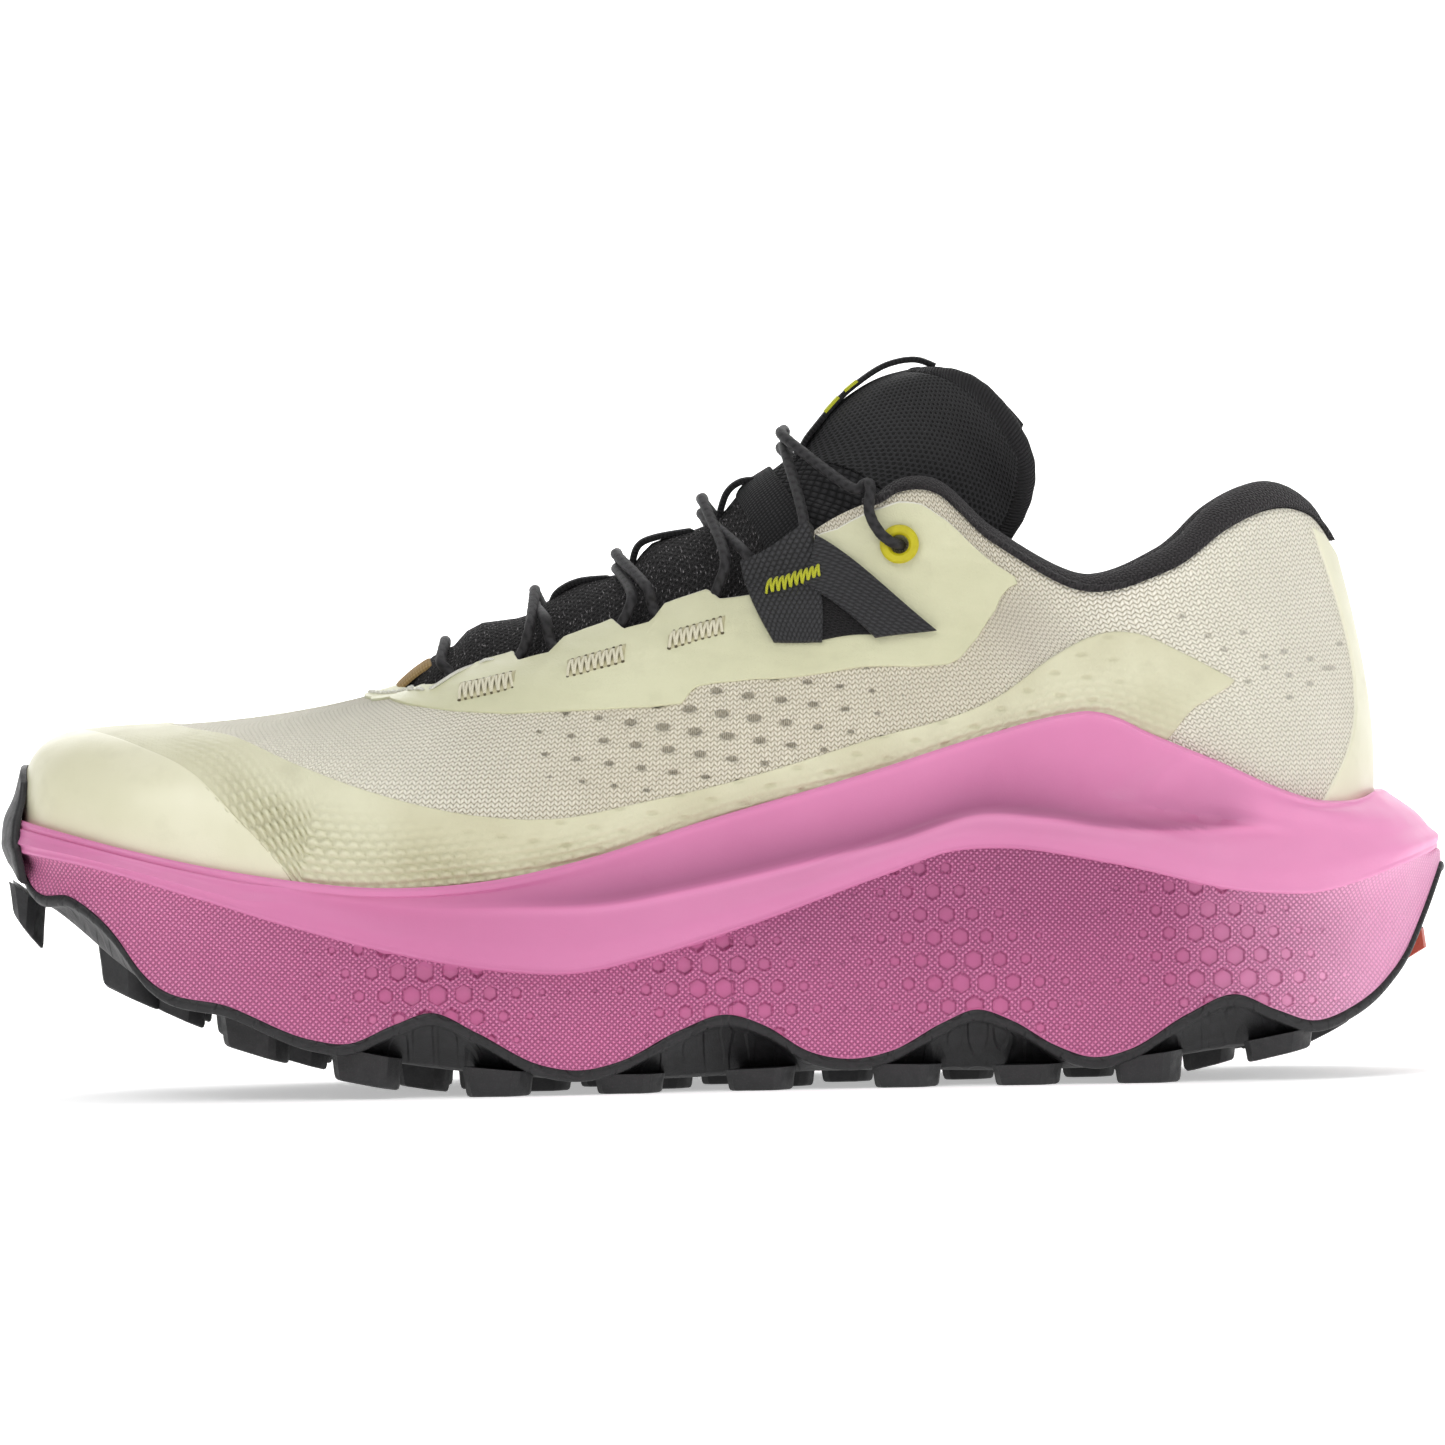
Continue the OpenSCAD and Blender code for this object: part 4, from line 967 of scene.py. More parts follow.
# Colours come in twos: base and second or lighter colour. Cloth pitches are x, then y, in mm.
MATS = dict(
    knit=knit_mat(),
    toe=film_mat("toe_film", (233, 230, 203), (224, 221, 190),
                 roughness=.36, grain=.00003, coat=.2),
    foxing=film_mat("foxing_film", (222, 220, 190), (206, 202, 170),
                    roughness=.45, grain=.00005, stitch_depth=.00012),
    eyestay=film_mat("eyestay_film", (216, 215, 181), (203, 202, 167),
                     roughness=.42, grain=.00008, stitch_depth=.00007),
    heel=film_mat("heel_film", (238, 236, 212), (230, 228, 200), roughness=.4, grain=.00004),
    foam=foam_mat("midsole_foam"),
    wall=foam_mat("midsole_foam_wall", wall=True),
    rubber=rubber_mat("outsole_rubber", (22, 22, 23), (34, 34, 36), roughness=.48),
    sheet=sheet_mat(),
    red=rubber_mat("insert_rubber", (200, 85, 60), (186, 72, 52), roughness=.45),
    board=cloth_mat("strobel_cloth", (190, 184, 164), (222, 216, 198), .6, .6,
                    kind="plain", sheen=.1),
    insole_foam=cloth_mat("insole_foam", (44, 44, 46), (72, 72, 74), .8, .8, kind="plain"),
    insole_cloth=cloth_mat("insole_cloth", (30, 30, 32), (58, 58, 61), .9, .9),
    stiffener=plastic_mat("stiffener", (150, 150, 146), (138, 138, 133), roughness=.6),
    collar=cloth_mat("collar_knit", (16, 15, 16), (66, 62, 64), 1.05, 1.,
                     depth=.0004, sheen=.16, angle=.5),
    collar_foam=plastic_mat("collar_foam", (80, 80, 80), (70, 70, 70), roughness=.9),
    gusset=mesh_mat("gusset_mesh", (28, 26, 27), fleck=(158, 154, 156)),
    pocket=cloth_mat("pocket_mesh", (10, 10, 11), (56, 56, 58), 1.9, 1.2,
                     depth=.0004, sheen=.08, kind="plain", angle=.7),
    spacer=spacer_mat(),
    lining=cloth_mat("tongue_lining", (16, 16, 17), (34, 34, 36), .7, .7,
                     depth=.0002, sheen=.12),
    binding=cloth_mat("binding", (14, 13, 14), (46, 45, 47), .7, .9,
                      kind="rib", angle=.35, sheen=.08),
    band=cloth_mat("pull_band_tape", (14, 14, 15), (44, 44, 46), .8, .8,
                   depth=.0002, kind="plain", sheen=.08),
    cord=cord_mat(),
    twill=twill_mat("strap_twill", angle=.62),
    twill_diagonal=twill_mat("strap_twill_diagonal", angle=-.25),
    strap_mesh=mesh_mat("strap_mesh", (34, 32, 34), fleck=None, size=.72),
    white=thread_mat("thread_white", (255, 255, 250), (206, 200, 176)),
    cream=thread_mat("thread_cream", (244, 240, 216), (190, 182, 148)),
    yellow=thread_mat("thread_yellow", (206, 208, 30), (140, 142, 8)),
    ring=plastic_mat("eyelet", (196, 186, 12), (184, 172, 8), roughness=.5, coat=.1),
    lock=plastic_mat("lock_plastic", (28, 28, 30), (36, 36, 38), roughness=.45),
    steel=plastic_mat("spring_steel", (150, 152, 155), (130, 132, 136), roughness=.3,
                      metallic=1.),
    tan=cloth_mat("tan_tape", (150, 122, 78), (192, 164, 116), .6, .6,
                  depth=.0002, kind="plain", sheen=.1),
)

# CAD pieces that keep their shape and take a material
for piece, key in {
        "strobel_board": "board", "heel_counter": "stiffener", "toe_puff": "stiffener",
        "collar_foam": "collar_foam", "eyelet_ring_medial": "ring",
        "eyelet_ring_lateral": "ring", "lock_body": "lock", "lock_button": "lock",
        "lock_spring": "steel", "lace_end_cap": "lock", "insole_foam": "insole_foam"}.items():
    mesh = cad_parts[piece].data
    mesh.materials.clear()
    mesh.materials.append(MATS[key])

# ------------------------------------------------------------------ knit upper
# top edge of the knit, scalloped along the throat: turn, rise
knit_top = pairs(
    0,1, 3.5,1, 4.05,.965, 4.45,.908, 5.1,.856, 5.28,.862, 5.36,.99, 5.5,1, 5.95,1, 6.25,.905,
    6.62,.905, 6.66,.985, 7.18,1, 7.42,.922, 7.72,.925, 7.76,.99, 8.26,1, 8.46,.955, 8.92,.945,
    8.96,1, 19,1)
RING_TURN, RING_RISE = 11.15, .9    # eyelets
ring_centres = [upper(side*RING_TURN, RING_RISE) for side, _ in SIDES]


def top_rise(turn):
    return linear(knit_top, np.abs(wrap(turn)))


def bore(places, points, radius, depth):
    "sinks points into the eyelet bores, judged by where places lie"
    for centre in ring_centres:
        distance = np.linalg.norm(places-centre, axis=-1)
        axis = unit(centre - np.array([centre[0], MIDDLE, centre[2]-20]))
        points = points - axis*(depth*(1-ease(distance, radius-.5, radius)))[..., None]
    return points


turns = np.linspace(-HEEL, HEEL, 720, endpoint=False)[:, None]*np.ones((1, 121))
share = np.linspace(0, 1, 121)[None]
rises = share - (1-top_rise(turns))*ease(share, .8, 1)
skin = upper(turns, rises)
x, y, z = np.moveaxis(skin, -1, 0)
size = np.clip(1.2-pit_fade(x, z), 0, 1)
pits = (1-ease(pit_distance(x, z, 1.65, .85)/np.maximum(size, .02), .75, 1.1))*(size > .28)
pits = pits*(z < 92)*(np.abs(y-MIDDLE) > 18)
outer = upper(turns, rises, -.5*ease(share, .985, 1) - .75*pits + .08*fuzz(skin, 9.))
outer = bore(skin, outer, radius=2.5, depth=1.3)
inner = upper(turns[::4, ::4], rises[::4, ::4], -KNIT)
girth = lengths(np.concatenate([skin[:, 54], skin[:1, 54]]))[-1]
add("upper_knit_skin", slab(outer, inner, 4, arc_uv(skin, .45), closed=True), MATS["knit"],
    ("upper_knit",), sharp=60, wrap_u=girth)

# ------------------------------------------------------------------ films over the knit
FILM_FOOT = -.15                    # films start just inside the knit


# edge carries a painted highlight and relief a painted shade into the film material
def film(name, piece, material, turns, rises, top, edge, swell=0, relief=None):
    height = top+swell-FILM_FOOT
    outer = upper(turns, rises, FILM_FOOT + height*rounding(*turns.shape))
    attributes = {"edge": np.concatenate([edge.ravel()]*2)}
    if relief is not None:
        attributes["relief"] = np.concatenate([relief.ravel()]*2)
    return add(name, shell(outer, upper(turns, rises, FILM_FOOT)), material, (piece,),
               sharp=50, attributes=attributes)


def turn_grid(start, stop, n, m):
    turns = start+(stop-start)*ends(n, abs(stop-start)*12)
    return turns[:, None]*np.ones((1, m))


def rises_between(low, high, share):
    return low + np.maximum(high-low, .012)*share


# strength of the painted highlight along the top rows of a film
def top_edge_highlight(grid_of_turns, rows, value):
    edge = np.zeros(grid_of_turns.shape)
    edge[:, -rows:] = value
    return edge


def tuck(turn):
    "rise at which films start, behind the midsole's lip"
    return np.maximum(.02, rise_at(turn, lip_line)-.035)


# toe cap
turns = turn_grid(-4.7, 4.7, 260, 70)
rises = rises_between(tuck(turns), rise_at(turns, cap_line), ends(70, 38)[None])
film("toe_cap_film", "toe_cap", MATS["toe"], turns, rises, .62,
     top_edge_highlight(turns, 1, .5), swell=.05*fuzz(upper(turns, rises), 14.))

# foxing: the knit shows through as scales by the toe and as pits further back
for side, side_name in SIDES:
    turns = turn_grid(.06*side, 15.42*side, 620, 72)
    share = ends(72, 22)[None]
    slant = -.04-1.5*(1-share)-.06*share**9
    turns = turns + side*slant*ease(np.abs(turns), 10., 15.4)
    top = rise_at(turns, foxing_line)
    low = tuck(turns)
    under_cap = np.maximum(np.minimum(rise_at(turns, cap_line), top-.02)-.012, low)
    low = np.where(np.abs(turns) < 6, under_cap, low)
    rises = rises_between(low, top, share)
    skin = upper(turns, rises)
    x, y, z = np.moveaxis(skin, -1, 0)
    along, upwards = np.moveaxis(arc_uv(skin, .3), -1, 0)
    row = upwards/1.75 + .35*np.sin(along/9.)
    cell_x = (along/2.7 + .5*(np.floor(row) % 2)) % 1
    cell_y = row % 1
    arc = .35+.35*(1-(2*cell_x-1)**2)
    scale = np.clip(1-((cell_x-.5)/.52)**2-((cell_y-arc)/.42)**2, 0, 1)**.7
    field = (1-ease(np.linspace(0, 1, 72)[None], .3, .95))*ease(x, -112, -88)
    field = field*(1-.55*ease(x, -50, -15))*(.75+.5*fuzz(skin, 7., 1))
    field = np.clip(field, 0, 1)
    pits = (1-ease(pit_distance(x, z, 1.3, .55), .5, 1.2))*ease(x, -62, -40)
    pits = pits*(1-ease(x, 74, 92))*(np.abs(y-MIDDLE) > 12)
    # relief is painted shade between the scales and in the pits
    film("foxing_skin_"+side_name, "foxing_film_"+side_name, MATS["foxing"],
         turns, rises, .5, top_edge_highlight(turns, 1, .5),
         swell=.8*field*(scale-.35)+.05*fuzz(skin, 10.)-.28*pits,
         relief=field*(1-scale)*.75+.4*pits)

# eyestay: a horseshoe round the throat with a stepped lower edge; turn, rise
eyestay_low = pairs(
    0,.945, 2,.93, 4,.86, 5.1,.745, 5.85,.685, 6.55,.637, 7.4,.611, 7.9,.601, 8.22,.605,
    8.26,.64, 8.34,.66, 8.5,.668, 8.85,.672, 9.65,.636, 10.7,.605, 11.2,.602, 11.4,.612,
    11.8,.66, 12.45,.76, 13.05,.882, 13.25,.92)
eyestay_high = pairs(9,.996, 9.7,.992, 10.2,.976, 10.9,.984, 11.35,.984, 11.75,.97, 12,.952,
                     12.5,.938, 13.25,.928)
turns = turn_grid(-13.2, 13.2, 620, 72)
away = np.abs(turns)
high = np.where(away < 9.0, top_rise(turns)-.004, linear(eyestay_high, away))
rises = rises_between(linear(eyestay_low, away), high, ends(72, 34)[None])
skin = upper(turns, rises)
wrinkles = .22*fuzz(skin, 5.5, 2)+.17*fuzz(skin*np.array([1, 1, 2.6]), 2.6, 1)
eyestay = film("eyestay_skin", "eyestay_film", MATS["eyestay"], turns, rises, .55,
               top_edge_highlight(turns, 2, 1), swell=wrinkles*ease(rises, .6, .7))
# bored after the sharp edges are set, so that the bores shade smooth
places = np.zeros(len(eyestay.data.vertices)*3, np.float32)
eyestay.data.vertices.foreach_get("co", places)
places = places.reshape(-1, 3)*1000.
bored = bore(places, places.astype(float), radius=2.7, depth=2.2)/1000
eyestay.data.vertices.foreach_set("co", bored.astype(np.float32).ravel())
eyestay.data.update()

# heel film; half width in turns over its height
heel_width = pairs(0,3.0, .1,2.65, .2,2.0, .35,1.35, .55,.98, .8,.98, 1,1.15)
across, share = ends(60, 26)[:, None], ends(110, 60)
width = np.pad(linear(heel_width, share), 8, mode="edge")
width = np.convolve(width, np.ones(17)/17, "valid")[None]
# painted highlight along both side edges of the heel film
edge = np.zeros((60, 110))
edge[[0, -1]] = .5
film("heel_skin", "heel_film", MATS["heel"], HEEL+width*(2*across-1),
     lerp(.16, .965, share[None])*np.ones_like(across), .6, edge)


# ------------------------------------------------------------------ sole helpers
def loop_turns(n):
    return -HEEL+2*HEEL*np.arange(n)/n


def spine(ring, line, lift=0):
    "middle line of a ring that starts and ends at the heel"
    n = len(ring)
    j = np.arange(n//2+1)
    middle = (ring[j]+ring[(n-j) % n])/2
    return on_line(middle*np.array([.9, 1, 1]), line, lift)


def toward(ring, middle, share, line, lift=0):
    "ring drawn in towards a spine"
    i = np.arange(len(ring))
    return on_line(ring+(middle[np.minimum(i, len(ring)-i)]-ring)*share, line, lift)


def stack(rings, first_spine, last_spine):
    "closed solid of stacked rings, each end closed onto a spine"
    rings = np.array(rings)
    rows, n = rings.shape[:2]
    i = np.arange(n)
    after = (i+1) % n
    near, far = np.minimum(i, n-i), np.minimum(after, n-after)

    def cap(base, ring):
        triangles = []
        for k in range(n):
            one, two = base+near[k], base+far[k]
            if one != two:
                triangles.append([ring+k, one, two])
            triangles.append([ring+k, two, ring+after[k]])
        return np.array(triangles)
    last_cap = cap(n*rows+n//2+1, (rows-1)*n)[:, [0, 2, 1]]
    verts = np.concatenate([rings.reshape(-1, 3), first_spine, last_spine])
    return verts, [loft(rows, n), cap(n*rows, 0), last_cap], None


def rim_reach(turn):
    return by_side(turn, rim_out) - .6*ease(np.abs(turn), 17.0, 18.8)


def outline(turn, off, line):
    return on_line(foot(turn)+outward(turn)*off[..., None], line)


def wall_rows(turn):
    "five points up the textured side wall, hem to rim; the wall is hollow between them"
    reach = rim_reach(turn)
    tuck_in = 1.8-2.4*ease(np.abs(turn), 17.0, 18.8)
    normal, base = outward(turn), foot(turn)
    hem = outline(turn, reach-tuck_in, wave_line)
    rim_z = curve(rim_line, outline(turn, reach, rim_line)[..., 0])
    tall = rim_z-hem[..., 2]
    hollow = np.clip(tall/13., .0, 1.)*(1-.92*ease(base[..., 0], 119, 127.5))

    def row(off, height):
        place = base+normal*off[..., None]
        place[..., 2] = height
        return place
    rows = [row(reach-tuck_in*inset-sink*hollow, hem[..., 2]+share*tall)
            for inset, sink, share in ((1, 1.5, .25), (.9, 2.2, .55), (.6, 1.9, .82))]
    return np.stack([hem, *rows, row(reach-.55, rim_z-.12)], -2)


def crease_height(rim, lip):
    line = curve(crease_line, lerp(rim, lip, .42)[:, 0])
    return np.maximum(line, rim[:, 2]+.35*(lip[:, 2]-rim[:, 2]))


def ridge(points, start, stop, width, height):
    "soft ridge between two x, z places"
    along = np.array(stop, float)-np.array(start, float)
    span = np.hypot(*along)
    along /= span
    x, z = points[..., 0]-start[0], points[..., 2]-start[1]
    forward = x*along[0]+z*along[1]
    aside = -x*along[1]+z*along[0]
    return height*bell(aside, width)*ease(forward, -8, 8)*(1-ease(forward, span-8, span+8))


# ------------------------------------------------------------------ midsole body
COUNT = 900
turns = loop_turns(COUNT)
normal = outward(turns)
away = np.abs(turns)
wall = wall_rows(turns)
rim = outline(turns, rim_reach(turns), rim_line)
hem = wall[:, 0]
hem_spine = spine(hem, belly_line)
lip_rise = rise_at(turns, lip_line)
lip_out = on_line(upper(turns, lip_rise, 2.6+spline(ledge, away)), lip_line,
                  -.3-.5*ease(away, 15.5, 17.8))
lip_top = on_line(upper(turns, lip_rise, 1.4), lip_line, .1-.85*ease(away, 15.2, 17.6))
bed = on_line(foot(turns)+normal*.9, bed_line, -.4)

# band from the rim over the crease to the lip
x = rim[:, 0]
crease_z = crease_height(rim, lip_out)
share = (crease_z-rim[:, 2])/np.maximum(lip_out[:, 2]-rim[:, 2], 1)
crease_out = lerp(.7, -2.3, ease(x, -105, -55))*(1-ease(x, 106, 126))+2.1*ease(x, 120, 138)
crease = rim+(lip_out-rim)*np.clip(share, .3, .72)[:, None]+normal*crease_out[:, None]
crease[:, 2] = crease_z
start = rim+normal*-.15+UP*.7
low_bulge = .75*ease(x, -100, -60)+.5*ease(x, 124, 138)
high_hollow = .25-.8*ease(x, 118, 134)
top_hollow = .45*ease(x, -100, -60)*(1-ease(x, 100, 124))-.3*ease(x, 116, 132)
to_heel = ease(away, 15., 17.6)[:, None]
keys = [start,
        lerp(start, crease, .35)+normal*low_bulge[:, None],
        lerp(start, crease, .75)+normal*.25,
        crease,
        lerp(crease, lip_out, .3)-normal*high_hollow[:, None],
        lerp(crease, lip_out, .65)-normal*top_hollow[:, None],
        lerp(lip_out-UP*1.3, lerp(lip_out, crease, .12), to_heel)-normal*.05,
        lerp(lip_out-UP*.25, lerp(lip_out, crease, .03), to_heel)]
band = catmull(keys, np.linspace(0, 7, 36))
relief = (ridge(band, (78, 56.), (110, 50.2), 1.3, 1.15)
          - ridge(band, (62, 51.6), (106, 49.6), 1.7, .9)
          + ridge(band, (93, 65), (82, 57), 2.2, .7)
          + ridge(band, (95, 58), (128, 51.5), 2.6, .5) + .05*fuzz(band, 6.))
band = band+normal[None]*relief[..., None]

inset = normal*1.9
below = [toward(hem, hem_spine, .28, belly_line), hem-inset+UP*.3]
below += [wall[:, row]-inset for row in (1, 2, 3)]
below += [rim-normal*back-UP*down for back, down in ((3.4, 1.7), (2.6, .8), (.35, .28), (.02, .02))]
below += [rim+UP*.35]
above = [lip_out+normal*-.35+UP*.12, lip_out*.55+lip_top*.45+UP*.22, lip_top,
         upper(turns, lip_rise-.012, .2), upper(turns, lip_rise*.5, .6), bed]
part = stack(below+list(band)+above, hem_spine, spine(bed, bed_line, -.4))

# shading round the crease and under the lip
x, z = band[..., 0].ravel(), band[..., 2].ravel()
rear = ease(x, 50, 84)
over = z-curve(crease_line, x)-lerp(.9, 2.1, rear)
tone = .52*bell(np.maximum(over-1, 0), 9.)*ease(over, -.4, 1.6)-.3*ease(-over, .3, 2.4)
tone += .85*np.exp(-(np.maximum(over, 0)/lerp(4.2, 2.4, rear))**1.3)*ease(over, -.8, .1)
tone -= .55*bell(over+1.1, .8)
tone = tone*ease(x, -75, -15)*(1-ease(x, 98, 110))
tone += -.1*ease(x, 100, 135)-.25*bell(z-curve(lip_line, x)+.9, .7)
shading = np.zeros(len(part[0]))
first = len(below)*COUNT
shading[first:first+len(tone)] = tone
add("midsole_body", part, MATS["foam"], ("midsole",), sharp=55,
    attributes={"relief": shading})

# ------------------------------------------------------------------ textured side walls
crests = ((-57.5, 19.5), (0.5, 18.5), (49.8, 18.5), (101, 20.5))    # x, z of the largest hexagons
HEX_PITCH, HEX_ROW, HEX_HALF = 5.2, 4.55, 1.9


def hexagons(x, z):
    "size 0..1 of the nearest hexagon, and mm outside its border"
    size = np.zeros_like(x)
    nearest = np.full_like(x, 9.)
    for odd in (0, 1):
        row_start = 2.3+odd*HEX_ROW
        centre_z = np.round((z-row_start)/(2*HEX_ROW))*2*HEX_ROW+row_start
        shift = odd*HEX_PITCH/2
        centre_x = np.round((x-shift)/HEX_PITCH)*HEX_PITCH+shift
        grown = 0
        for crest_x, crest_z in crests:
            over = centre_z-crest_z
            fall = np.where(over > 0, over/62., -over/26.)
            grown = np.maximum(grown, 1.14-np.abs(centre_x-crest_x+.42*over)/29.-fall)
        grown = np.clip(grown, .0, 1)*(centre_x > -86)*(centre_x < 130)
        grown = grown*(grown > .14)
        aside, upwards = np.abs(x-centre_x), np.abs(z-centre_z)
        distance = np.maximum(aside, aside*.5+upwards*.866)/HEX_HALF/np.maximum(grown, .01)
        nearer = distance < nearest
        nearest = np.where(nearer, distance, nearest)
        size = np.where(nearer, grown, size)
    return size, (nearest-1)*size*HEX_HALF


for side, side_name in SIDES:
    for part_name, start, stop, anchor in (("front", 0., 8.6, -20), ("rear", 8.6, 19., 20)):
        turns = side*np.linspace(start, stop, 881)
        rows = np.moveaxis(wall_rows(turns), 1, 0)
        base = np.moveaxis(catmull(rows, np.linspace(0, 4, 157)), 0, 1)
        normal, away = normals(base), outward(turns)
        normal = normal*np.sign(np.sum(normal*away[:, None], -1).mean())
        # running length replaces x where the wall turns round the ends
        middle = base[:, 157//2]
        run = lengths(middle[:, :2])
        k = np.argmin(np.abs(middle[:, 0]-anchor))
        along = middle[k, 0]+(run-run[k])
        straight = ease(np.abs(away[:, 1]), .5, .95)[:, None]
        x = along[:, None]+(base[..., 0]-middle[:, :1])*straight
        z = base[..., 2]
        size, outside = hexagons(x, z)
        sunk = (1-ease(outside, -.22, .06))*(size > 0)
        border = bell(outside-.28, .17)*(size > .35)
        groove = bell(outside+.12, .17)*(size > .2)
        fade = 1-ease(x, 112, 138)*.5
        share = np.linspace(0, 1, 157)[None]
        inside = ease(share, 0, .035)*(1-ease(share, .975, 1))
        to_heel = ease(x, 106, 128)
        depth = .75*np.clip(size*1.3, .35, 1)*sunk*(1-.4*to_heel)
        height = (.13*border*fade-depth)*inside
        outer = base+normal*height[..., None]
        inner = (base-normal*1.2)[::4, ::4]
        # painted shade under the rim, in the sunk hexagons and in their grooves; painted light
        # towards the heel and on the raised borders
        tone = .3*bell(1-share, .3)*ease(x, -20, 24)*(1-ease(x, 78, 100))-.5*ease(x, 116, 138)
        tone = tone+(sunk*.22*(1-.6*to_heel)+.75*groove*fade-border*.35*fade)*inside
        hatch = (1-sunk)*(1-.35*border)*fade*inside
        none = np.zeros(inner.shape[0]*inner.shape[1])
        add(f"midsole_wall_{side_name}_{part_name}", slab(outer, inner, 4, np.stack([x, z], -1)),
            MATS["wall"], ("midsole",),
            attributes={"relief": np.concatenate([tone.ravel(), none]),
                        "hatch": np.concatenate([hatch.ravel(), none])})

# ------------------------------------------------------------------ outsole sheet
normal = outward(loop_turns(COUNT))
rings = [toward(hem, hem_spine, .28, belly_line, -.15)]
# edge of the sheet: mm out, mm down from the hem
rings += [hem+normal*out-UP*down for out, down in (
    (0, .05), (.25, .02), (.55, .35), (.65, 1.0), (.5, 1.7), (.05, 2.2), (-.6, 2.35))]
for share in (.04, .07, .105, .15, .2, .28, .42, .6, .8):
    ring = toward(hem, hem_spine, share, belly_line, -2.25)
    waved = toward(hem, hem_spine, share, wave_line, -2.4)
    ring[:, 2] = lerp(waved[:, 2], ring[:, 2], ease(share, .03, .24))
    rings.append(ring)
add("outsole_sheet", stack(rings, hem_spine-UP*.15, hem_spine-UP*2.25), MATS["sheet"],
    ("outsole",), sharp=50)

# ------------------------------------------------------------------ lugs
side_lugs = (   # x, y
    ((-93,-37), (-71,-43), (-45,-41.5), (-19,-38.5), (7,-35.5), (36,-34), (60,-34.5), (84,-36),
     (110,-34)),
    ((-93,33), (-70,43), (-45,45.5), (-19,45), (7,42), (36,39), (60,37), (84,36), (110,32)))
# outlines from the root to the ground: share of the height, inset in length and in width
lug_levels = ((1.0, -.2, -.2), (.82, 0, 0), (.5, .25, .3), (.16, .45, .55), (.05, .65, .75),
              (0, 1.05, 1.15))


def lug(x, y, length, width, angle, drop=None):
    "one lug with a notched front end and a hollow ground face"
    low = curve(tread_line, x)
    low_slope = (curve(tread_line, x+3)-curve(tread_line, x-3))/6
    high = max(curve(belly_line, x)-1.7, low+1.9)
    high_slope = (curve(belly_line, x+3)-curve(belly_line, x-3))/6
    if drop is not None:
        low += drop
        high = low+7.1
    cosine, sine_ = math.cos(math.radians(angle)), math.sin(math.radians(angle))
    turned = np.array([[cosine, sine_], [-sine_, cosine]])
    corner = 1.6
    rings = []
    for share, less_length, less_width in lug_levels:
        a, b = length/2-less_length, width/2-less_width
        flat = np.array([
            [-a, -b+corner], [-a+corner*.8, -b], [a-3, -b], [a-1.6, -b+1.2], [a, -1.2], [a, 1.2],
            [a-1.6, b-1.2], [a-3, b], [-a+corner*.8, b], [-a, b-corner], [-a+1.6, 1.4],
            [-a+2.2, 0], [-a+1.6, -1.4]]) @ turned
        z = lerp(low, high+.9, share)+lerp(low_slope, high_slope, share)*flat[:, 0]
        rings.append(np.column_stack([x+flat[:, 0], y+flat[:, 1], z]))
    centre = rings[-1].mean(0)
    rings += [lerp(rings[-1], centre, .35), lerp(rings[-1], centre, .45)+UP*.35]
    rings = np.array(rings)
    rows, n = rings.shape[:2]
    i = np.arange(n)
    after = (i+1) % n
    last = (rows-1)*n
    caps = [np.stack([np.full(n, rows*n), after, i], -1),
            np.stack([np.full(n, rows*n+1), last+i, last+after], -1)]
    verts = np.concatenate([rings.reshape(-1, 3), [rings[0].mean(0)], [rings[-1].mean(0)]])
    return verts, [loft(rows, n), np.concatenate(caps)], None


LUG_PITCH = 24.3
lugs = [lug(x, y, 13, 14, angle) for angle, row in zip((-8, 8), side_lugs) for x, y in row]
lugs += [lug(LUG_PITCH*i, 0, 11, 12, 0) for i in range(-4, 5)]
lugs += [lug(LUG_PITCH*i-12.1, MIDDLE+aside, 11, 12, 0)
         for i in range(-4, 5) for aside in (-16, 19)]
lugs += [lug(-118, -22, 11, 12, -30), lug(-118, 19, 11, 12, 30),
         lug(-139.5, -9, 6.6, 17, 0, drop=-2.6), lug(-120, -1, 10, 12, 0),
         lug(120, -14, 11, 14, -10), lug(120, 12, 11, 14, 10)]
add("outsole_lugs", join(lugs), MATS["rubber"], ("outsole",), sharp=28)

# ------------------------------------------------------------------ toe bumper
turns = -1.5+3*ends(40, 30, (.2, .6))
normal = outward(turns)
base = foot(turns)+normal*(by_side(turns, rim_out)+.25)[:, None]
rim = on_line(base, rim_line)
low = on_line(base-normal*1.2, wave_line, -1.5)
lip = on_line(upper(turns*.86, rise_at(turns*.86, lip_line), 2.95), lip_line, -.2)
crease = lerp(rim, lip, .42)
crease[:, 2] = crease_height(rim, lip)
lip_rise = rise_at(turns*.8, lip_line)
keys = [low, rim, crease+normal*.3, lip, upper(turns*.7, lip_rise+.05, 1.2),
        upper(turns*.62, lip_rise+.13-.02*turns*turns, 1.0)]
share = ends(64, 34, (.2, .6))
base = np.moveaxis(catmull(keys, share*5), 0, 1)
thick = lerp(1.5, 1.0, share)[None]*rounding(40, 64)
verts, polys, _ = shell(base+normal[:, None]*thick[..., None], base-normal[:, None]*.25)
add("toe_bumper", (verts, polys, None), MATS["rubber"], ("outsole",), sharp=45)

# ------------------------------------------------------------------ red insert under the heel
section = pairs(131.5,24.6, 140.6,28.8, 141.1,24.9, 137.4,22.7, 131.5,19.6)     # x, z
across = np.linspace(-1, 1, 9)
verts = vec(section[:, :1]-.8*across**4, MIDDLE+9*across, section[:, 1:])
add("heel_insert_red",
    (verts, [grid(5, 9, True)[:, SWAP], np.array([[0, 9, 18, 27, 36]]),
             np.array([[8, 44, 35, 26, 17]])], None),
    MATS["red"], ("heel_insert",), sharp=30)

